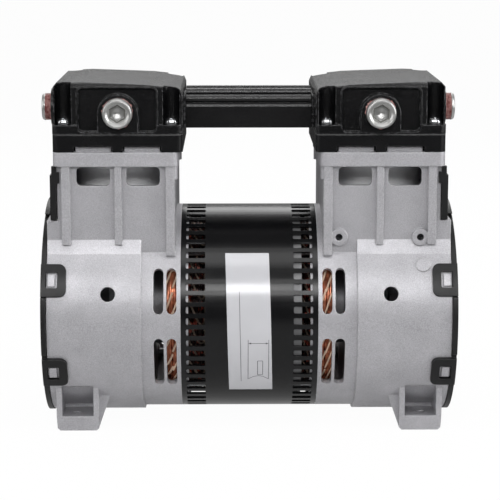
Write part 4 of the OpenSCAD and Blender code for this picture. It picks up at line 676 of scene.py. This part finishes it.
def makeWinding(side, values):
    rng = random.Random(values["seed"] + side)
    shape = newShape()
    x0, x1 = values["coreEnd"][side] + values["clear"], values["end"]
    r0, r1, thick = values["inner"], values["outer"], values["strand"]
    inset = thick + values["wave"]
    core = sectionOutline(x0 + inset, x1 - inset, r0 + inset, r1 - inset,
                          values["corner"] - inset, values["coreStep"])
    angles = [math.tau * i / values["rings"] for i in range(values["rings"])]
    addRings(shape, [[aboutShaft(p.x, p.y, a) for p in core] for a in angles], [1], closeLong=True)
    outline = sectionOutline(x0 + thick, x1 - thick, r0 + thick, r1 - thick,
                             values["corner"] - thick, values["pitch"])
    waves, ripples, spread = values["poles"], values["poles"] + values["rippleMore"], values["leadSpread"]
    for i, place in enumerate(outline):
        sway = rng.uniform(values["leastWave"], 1.0) * values["wave"]
        lead = i // values["group"] * values["groupLead"] + rng.uniform(-spread, spread)
        path, across = [], []
        for a in angles:
            x = place.x + sway * math.sin(waves * a + lead)
            r = place.y + values["ripple"] * sway * (math.cos(ripples * a + values["rippleLead"] * lead) - 1)
            path.append(aboutShaft(min(max(x, x0 + thick), x1 - thick), max(r, r0 + thick), a))
            across.append(Vector((0, math.sin(a), math.cos(a))))
        # Strands inside the shell take the copper painted dark as shade
        addTube(shape, path, across, thick * mm, values["strandSides"], closed=True,
                slot=1 if place.x < values["paintedShadeUpTo"] else 0)
    piece = finishShape(("right" if side > 0 else "left") + "CopperCoils", shape,
                        [made["copperEnamel"], made["copperPaintedShade"]], sharp=values["sharp"])
    piece.data.transform(sideMatrix(side))
    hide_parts(("right" if side > 0 else "left") + "_end_winding")
    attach(piece, "housing")


for side in (1, -1):
    makeWinding(side, windings)
print("windings made")

# The lacing: one turn of flat cord round the bundle, repeated in steps so that it runs on as one cord

lacing = {
    "turns": 26, "radius": 0.66, "flat": 0.75, "off": 0.66, "sides": 6, "step": 1.6,
    "slant": 0.19, "slantWaves": 3, "spread": 0.03, "seed": 7,
}


def makeLacing(side, values):
    x0, x1 = windings["coreEnd"][side] + windings["clear"], windings["end"]
    off = values["off"]
    outline = sectionOutline(x0 - off, x1 + off, windings["inner"] - off, windings["outer"] + off,
                             windings["corner"] + off, values["step"])
    turn = math.tau / values["turns"]
    shape = newShape()
    path, across = [], []
    centre = Vector(((x0 + x1) / 2, (windings["inner"] + windings["outer"]) / 2))
    for i in range(len(outline) + 1):
        p = outline[i % len(outline)]
        share = i / len(outline)
        a = turn * share + values["slant"] * math.sin(math.tau * values["slantWaves"] * share)
        path.append(aboutShaft(p.x, p.y, a))
        out = p - centre
        across.append(Vector((out.x, out.y * math.sin(a), out.y * math.cos(a))))
    addTube(shape, path, across, values["radius"] * mm, values["sides"], flat=values["flat"])
    name = ("right" if side > 0 else "left") + "CordLacing"
    carrier = finishShape(name + "Turn", shape, [made["lacingCord"]])
    piece = growPiece(name, carrier, repeatTree, repeatSockets, {
        "Count": values["turns"], "Turn": -turn, "Spread": values["spread"], "Seed": values["seed"],
        "Material": made["lacingCord"]}, sideMatrix(side))
    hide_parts(("right" if side > 0 else "left") + "_winding_lacing")
    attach(piece, "housing")


for side in (1, -1):
    makeLacing(side, lacing)
print("lacing made")

# The rating label: a thin film bent round the shell, with a plain outline drawing

label = {
    # angles up from the front in degrees, the rest in millimetres
    "top": 40.6, "bottom": -43.2, "xTop": (-14.7, 12.0), "xBottom": (-12.4, 14.4), "rows": 30, "columns": 4,
    "rise": 0.3, "sink": -0.05, "ink": 0.03, "lineStep": 3, "arrowLong": 1.6, "arrowHalf": 0.55,
    # x0, angle0, x1, angle1, width
    "lines": [
        (-6.1, 18.4, -5.0, -35.6, 0.28), (-0.8, -7.9, -0.8, -34.0, 0.3), (11.8, -7.9, 11.8, -34.0, 0.3),
        (-0.5, -10.0, 11.5, -10.0, 0.3), (5.0, -20.8, 8.2, -20.8, 0.3), (5.0, -30.4, 8.2, -30.4, 0.3),
        (5.0, -20.8, 5.0, -30.4, 0.3), (8.2, -20.8, 8.2, -30.4, 0.3),
        (-0.5, -33.6, 2.6, -31.8, 0.3), (2.6, -31.8, 5.6, -31.2, 0.3), (5.6, -31.2, 8.6, -31.8, 0.3),
        (8.6, -31.8, 11.6, -33.6, 0.3)],
    # x, angle and way of each arrow's tip
    "arrows": [(-0.6, -10.0, 1), (11.6, -10.0, -1)],
}


def onShell(x, angle, rise):
    a = math.radians(angle)
    r = (machine["shellRadius"] + rise) * mm
    return Vector((x * mm, -r * math.cos(a), r * math.sin(a) + machine["shaftHeight"] * mm))


def makeLabel(values):
    shape = newShape()
    rows, columns = values["rows"], values["columns"]
    for rise in (values["rise"], values["sink"]):
        rings = []
        for i in range(rows + 1):
            share = i / rows
            angle = values["top"] + (values["bottom"] - values["top"]) * share
            x0 = values["xTop"][0] + (values["xBottom"][0] - values["xTop"][0]) * share
            x1 = values["xTop"][1] + (values["xBottom"][1] - values["xTop"][1]) * share
            rings.append([onShell(x0 + (x1 - x0) * k / columns, angle, rise) for k in range(columns + 1)])
        addRings(shape, rings, [0], closeAround=False)
    wide = columns + 1
    total = (rows + 1) * wide
    edge = list(range(wide)) + [wide * i + columns for i in range(1, rows + 1)]
    edge += [wide * rows + k for k in range(columns - 1, -1, -1)]
    edge += [wide * i for i in range(rows - 1, 0, -1)]
    for a, b in zip(edge, edge[1:] + edge[:1]):
        addFace(shape, (a, b, b + total, a + total))
    ink = values["rise"] + values["ink"]
    for x0, a0, x1, a1, width in values["lines"]:
        reach = machine["shellRadius"] * math.radians(a1 - a0)
        long = math.hypot(x1 - x0, reach)
        sx = -reach / long * width / 2
        sa = math.degrees((x1 - x0) / long * width / 2 / machine["shellRadius"])
        steps = max(1, round(abs(a1 - a0) / values["lineStep"]))
        rings = []
        for i in range(steps + 1):
            x, a = x0 + (x1 - x0) * i / steps, a0 + (a1 - a0) * i / steps
            rings.append([onShell(x + k * sx, a + k * sa, ink) for k in (-1, 1)])
        addRings(shape, rings, [1], closeAround=False)
    long, half = values["arrowLong"], values["arrowHalf"]
    for x, a, way in values["arrows"]:
        first = len(shape["verts"])
        for dx, da in ((0, 0), (long, half), (long, -half)):
            shape["verts"].append(tuple(onShell(x + dx * way, a + da, ink)))
        addFace(shape, (first, first + 1, first + 2), 1)
    piece = finishShape("ratingLabel", shape, [made["labelFilm"], made["labelInk"]])
    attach(piece, "housing")


makeLabel(label)
print("label made")

# Pipe plugs: a hexagon socket, a rounded rim and sealant in the threads

plugs = {
    "segments": 60, "back": -18.0, "out": 5.9, "shank": 8.5, "tip": 0.2,
    "front": {"x": 79.3, "y": -54.4, "z": 13.1, "rim": 9.1}, "side": {"x": 123.75, "z": 11.6, "rim": 8.55},
    "socket": 4.1, "socketLip": 1.2, "lipDepth": 0.7, "socketDepth": 4.6,
    "drillRadius": 2.6, "drillDepth": 1.2,
    # how far in from the rim, and how far below its top
    "rimCurve": [(0, 1.6), (0.3, 0.7), (0.8, 0.2), (1.4, 0.0), (2.0, 0.2), (2.5, 0.8), (3.1, 1.3)],
    "rimFoot": [(0.35, 0.12, 1), (0, 0.5, 0)],  # in from the rim, height, material number
    "threads": 4, "threadPitch": 0.86, "threadDepth": 0.5, "threadStart": 0.45, "threadRunOut": 0.4,
    "smear": 1.0, "smearWaves": 3, "smearTurn": 1.0, "smearShare": 0.6, "smearSpread": 0.5,
    "smearLeast": -0.1, "smearSlope": (0.1, 0.22), "smearInside": (0.5, 0.3), "sharp": 32, "seed": 12,
}


def hexRadius(angle, half):
    third = math.radians(60)
    return half / math.cos((angle % third) - third / 2)


def addPlug(shape, matrix, rim, threaded, rng, values):
    count = values["segments"]
    angles = [math.tau * k / count for k in range(count)]
    out, half = values["out"], values["socket"]
    rings, slots = [], []

    def placed(reaches, z):
        return [matrix @ (Vector((r * math.cos(a), r * math.sin(a), z)) * mm)
                for r, a in zip(reaches, angles)]

    def circled(r, z, slot=0):
        rings.append(placed([r] * count, z))
        slots.append(slot)

    def hexed(z, share=1.0, slot=0):
        rings.append(placed([hexRadius(a, half) * share for a in angles], z))
        slots.append(slot)

    circled(values["tip"], values["back"])
    circled(values["shank"], values["back"])
    circled(values["shank"], 0.0)
    if threaded:
        pitch = values["threadPitch"]
        for k in range(values["threads"]):
            z = values["threadStart"] + k * pitch
            circled(rim, z, 1)
            circled(rim - values["threadDepth"], z + pitch / 2, 1)
        circled(rim, values["threadRunOut"] + values["threads"] * pitch, 1)
    else:
        for inward, z, slot in values["rimFoot"]:
            circled(rim - inward, z, slot)
    for inward, down in values["rimCurve"]:
        circled(rim - inward, out - down)
    lip, floor = out - values["rimCurve"][-1][1], out - values["socketDepth"]
    hexed(lip, values["socketLip"])
    # The socket's walls take socketShade, a painted shade
    hexed(lip - values["lipDepth"], slot=2)
    hexed(floor, slot=2)
    circled(values["drillRadius"], floor)
    circled(values["tip"], floor - values["drillDepth"])
    first = addRings(shape, rings, slots[1:])
    capRing(shape, first, count, 0, True)
    capRing(shape, first + (len(rings) - 1) * count, count)
    if not threaded:
        least, spread = rim + values["smearLeast"], values["smearSpread"]
        reaches = []
        for a in angles:
            swell = math.sin(values["smearWaves"] * a + values["smearTurn"]) * values["smearShare"]
            reach = rim + values["smear"] * max(0.0, swell + rng.uniform(-spread, spread))
            reaches.append(max(reach, least))
        slope, slopeTop = values["smearSlope"]
        inside, insideTop = values["smearInside"]
        addRings(shape, [placed(reaches, 0.0), placed([r - slope for r in reaches], slopeTop),
                         placed([rim - inside] * count, insideTop)], [1])


def makePlugs(values):
    rng = random.Random(values["seed"])
    height = machine["shaftHeight"] + machine["headBase"]
    fronts, sides = newShape(), newShape()
    front, end, quarter = values["front"], values["side"], math.pi / 2
    for side in (-1, 1):
        for shape, x, y, z, turn, axis, rim, threaded in (
                (fronts, front["x"], front["y"], front["z"], quarter, "X", front["rim"], False),
                (sides, end["x"], 0, end["z"], side * quarter, "Y", end["rim"], True)):
            place = Matrix.Translation(Vector((side * x, y, height + z)) * mm)
            place = place @ Matrix.Rotation(turn, 4, axis) @ Matrix.Rotation(rng.uniform(0, 1), 4, "Z")
            addPlug(shape, place, rim, threaded, rng, values)
    materials = [made["platedPlug"], made["redSealant"], made["socketShade"]]
    for name, shape, node in (("frontPlugs", fronts, "front_port_plugs"),
                              ("sidePlugs", sides, "side_port_plugs")):
        piece = finishShape(name, shape, materials, sharp=values["sharp"])
        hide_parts(node)
        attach(piece, "housing")


makePlugs(plugs)
print("plugs made")

# Head screws: domed pan heads with a cross recess, set on their eight places

screws = {
    "head": 4.75, "height": 3.4, "rim": 1.3, "dome": 1.7, "domeAngles": (20, 42, 64), "foot": (0.1, 0.2),
    "cross": 2.7, "crossHalf": 0.62, "crossSteps": 4,
    "crossTop": 0.1, "crossDepth": 1.7, "crossTaper": (0.3, 0.12),
    "shank": 2.5, "length": 23.6, "tip": 0.2, "reachX": 32.75, "reachY": 46.0, "base": 5.6,
    "sharp": 30, "spread": 0.7, "seed": 3,
}


def crossRing(reach, half, z, steps):
    corners = []
    for k in range(4):
        a = k * math.pi / 2
        for u, v in ((reach, -half), (reach, half), (half, half)):
            corners.append(Vector((u * math.cos(a) - v * math.sin(a), u * math.sin(a) + v * math.cos(a), z)))
    ring = []
    for here, after in zip(corners, corners[1:] + corners[:1]):
        ring.extend(here.lerp(after, k / steps) for k in range(steps))
    return ring


def makeScrews(values):
    shape = newShape()
    head, height, rim, dome = values["head"], values["height"], values["rim"], values["dome"]
    reach, half, steps = values["cross"], values["crossHalf"], values["crossSteps"]
    cross = crossRing(reach, half, height - values["crossTop"], steps)
    count = len(cross)
    angles = [math.atan2(-half, reach) + math.tau * k / count for k in range(count)]

    def ring(r, z):
        return [Vector((r * math.cos(a), r * math.sin(a), z)) for a in angles]

    inward, upward = values["foot"]
    rings = [ring(values["tip"], -values["length"]), ring(values["shank"], -values["length"]),
             ring(values["shank"], 0), ring(head - inward, 0), ring(head, upward), ring(head, rim)]
    for a in values["domeAngles"]:
        t = math.radians(a)
        rings.append(ring(head - dome * (1 - math.cos(t)), rim + (height - rim) * math.sin(t)))
    taperLong, taperWide = values["crossTaper"]
    rings += [cross, crossRing(reach - taperLong, half - taperWide, height - values["crossDepth"], steps)]
    first = addRings(shape, [[point * mm for point in row] for row in rings], [0])
    capRing(shape, first, count, 0, True)
    capRing(shape, first + (len(rings) - 1) * count, count)
    one = finishShape("panScrew", shape, [made["zincScrew"]], sharp=values["sharp"])
    z = machine["shaftHeight"] + machine["headBase"] + values["base"]
    spots = [((x + sx * values["reachX"]) * mm, sy * values["reachY"] * mm, z * mm)
             for x in (-machine["cylinderX"], machine["cylinderX"]) for sx in (-1, 1) for sy in (-1, 1)]
    mesh = bpy.data.meshes.new("screwSpots")
    mesh.from_pydata(spots, [], [])
    carrier = bpy.data.objects.new("screwSpots", mesh)
    bpy.context.scene.collection.objects.link(carrier)
    piece = growPiece("headScrews", carrier, pointsTree, pointsSockets, {
        "Piece": one, "Spread": values["spread"], "Seed": values["seed"], "Material": made["zincScrew"]},
        sharp=values["sharp"])
    bpy.data.objects.remove(one)
    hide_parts("head_screws")
    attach(piece, "housing")


makeScrews(screws)
print("screws made")

# A bead round the top of each head's panel

bead = {
    "half": 24.2, "low": 5.6, "top": 28.4, "corner": 3.4, "cornerSteps": 6,
    "radius": 0.75, "sides": 10, "y": 50.8, "sharp": 60,
}


def makeBeads(values):
    shape = newShape()
    base = machine["shaftHeight"] + machine["headBase"]
    corner, steps = values["corner"], values["cornerSteps"]
    cx, cz = values["half"] - corner, values["top"] - corner
    arc = [(corner * math.sin(a), corner * math.cos(a))
           for a in (math.pi / 2 * k / steps for k in range(steps + 1))]
    outline = [(-values["half"], values["low"])] + [(-cx - u, cz + v) for u, v in arc[::-1]]
    outline += [(cx + u, cz + v) for u, v in arc] + [(values["half"], values["low"])]
    for x in (-machine["cylinderX"], machine["cylinderX"]):
        for sy in (-1, 1):
            path = [Vector(((x + u) * mm, sy * values["y"] * mm, (base + v) * mm)) for u, v in outline]
            addTube(shape, path, [Vector((0, sy, 0))] * len(path), values["radius"] * mm, values["sides"])
    piece = finishShape("panelBeads", shape, [made["headPaint"]], sharp=values["sharp"])
    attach(piece, "housing")


makeBeads(bead)
print("beads made")
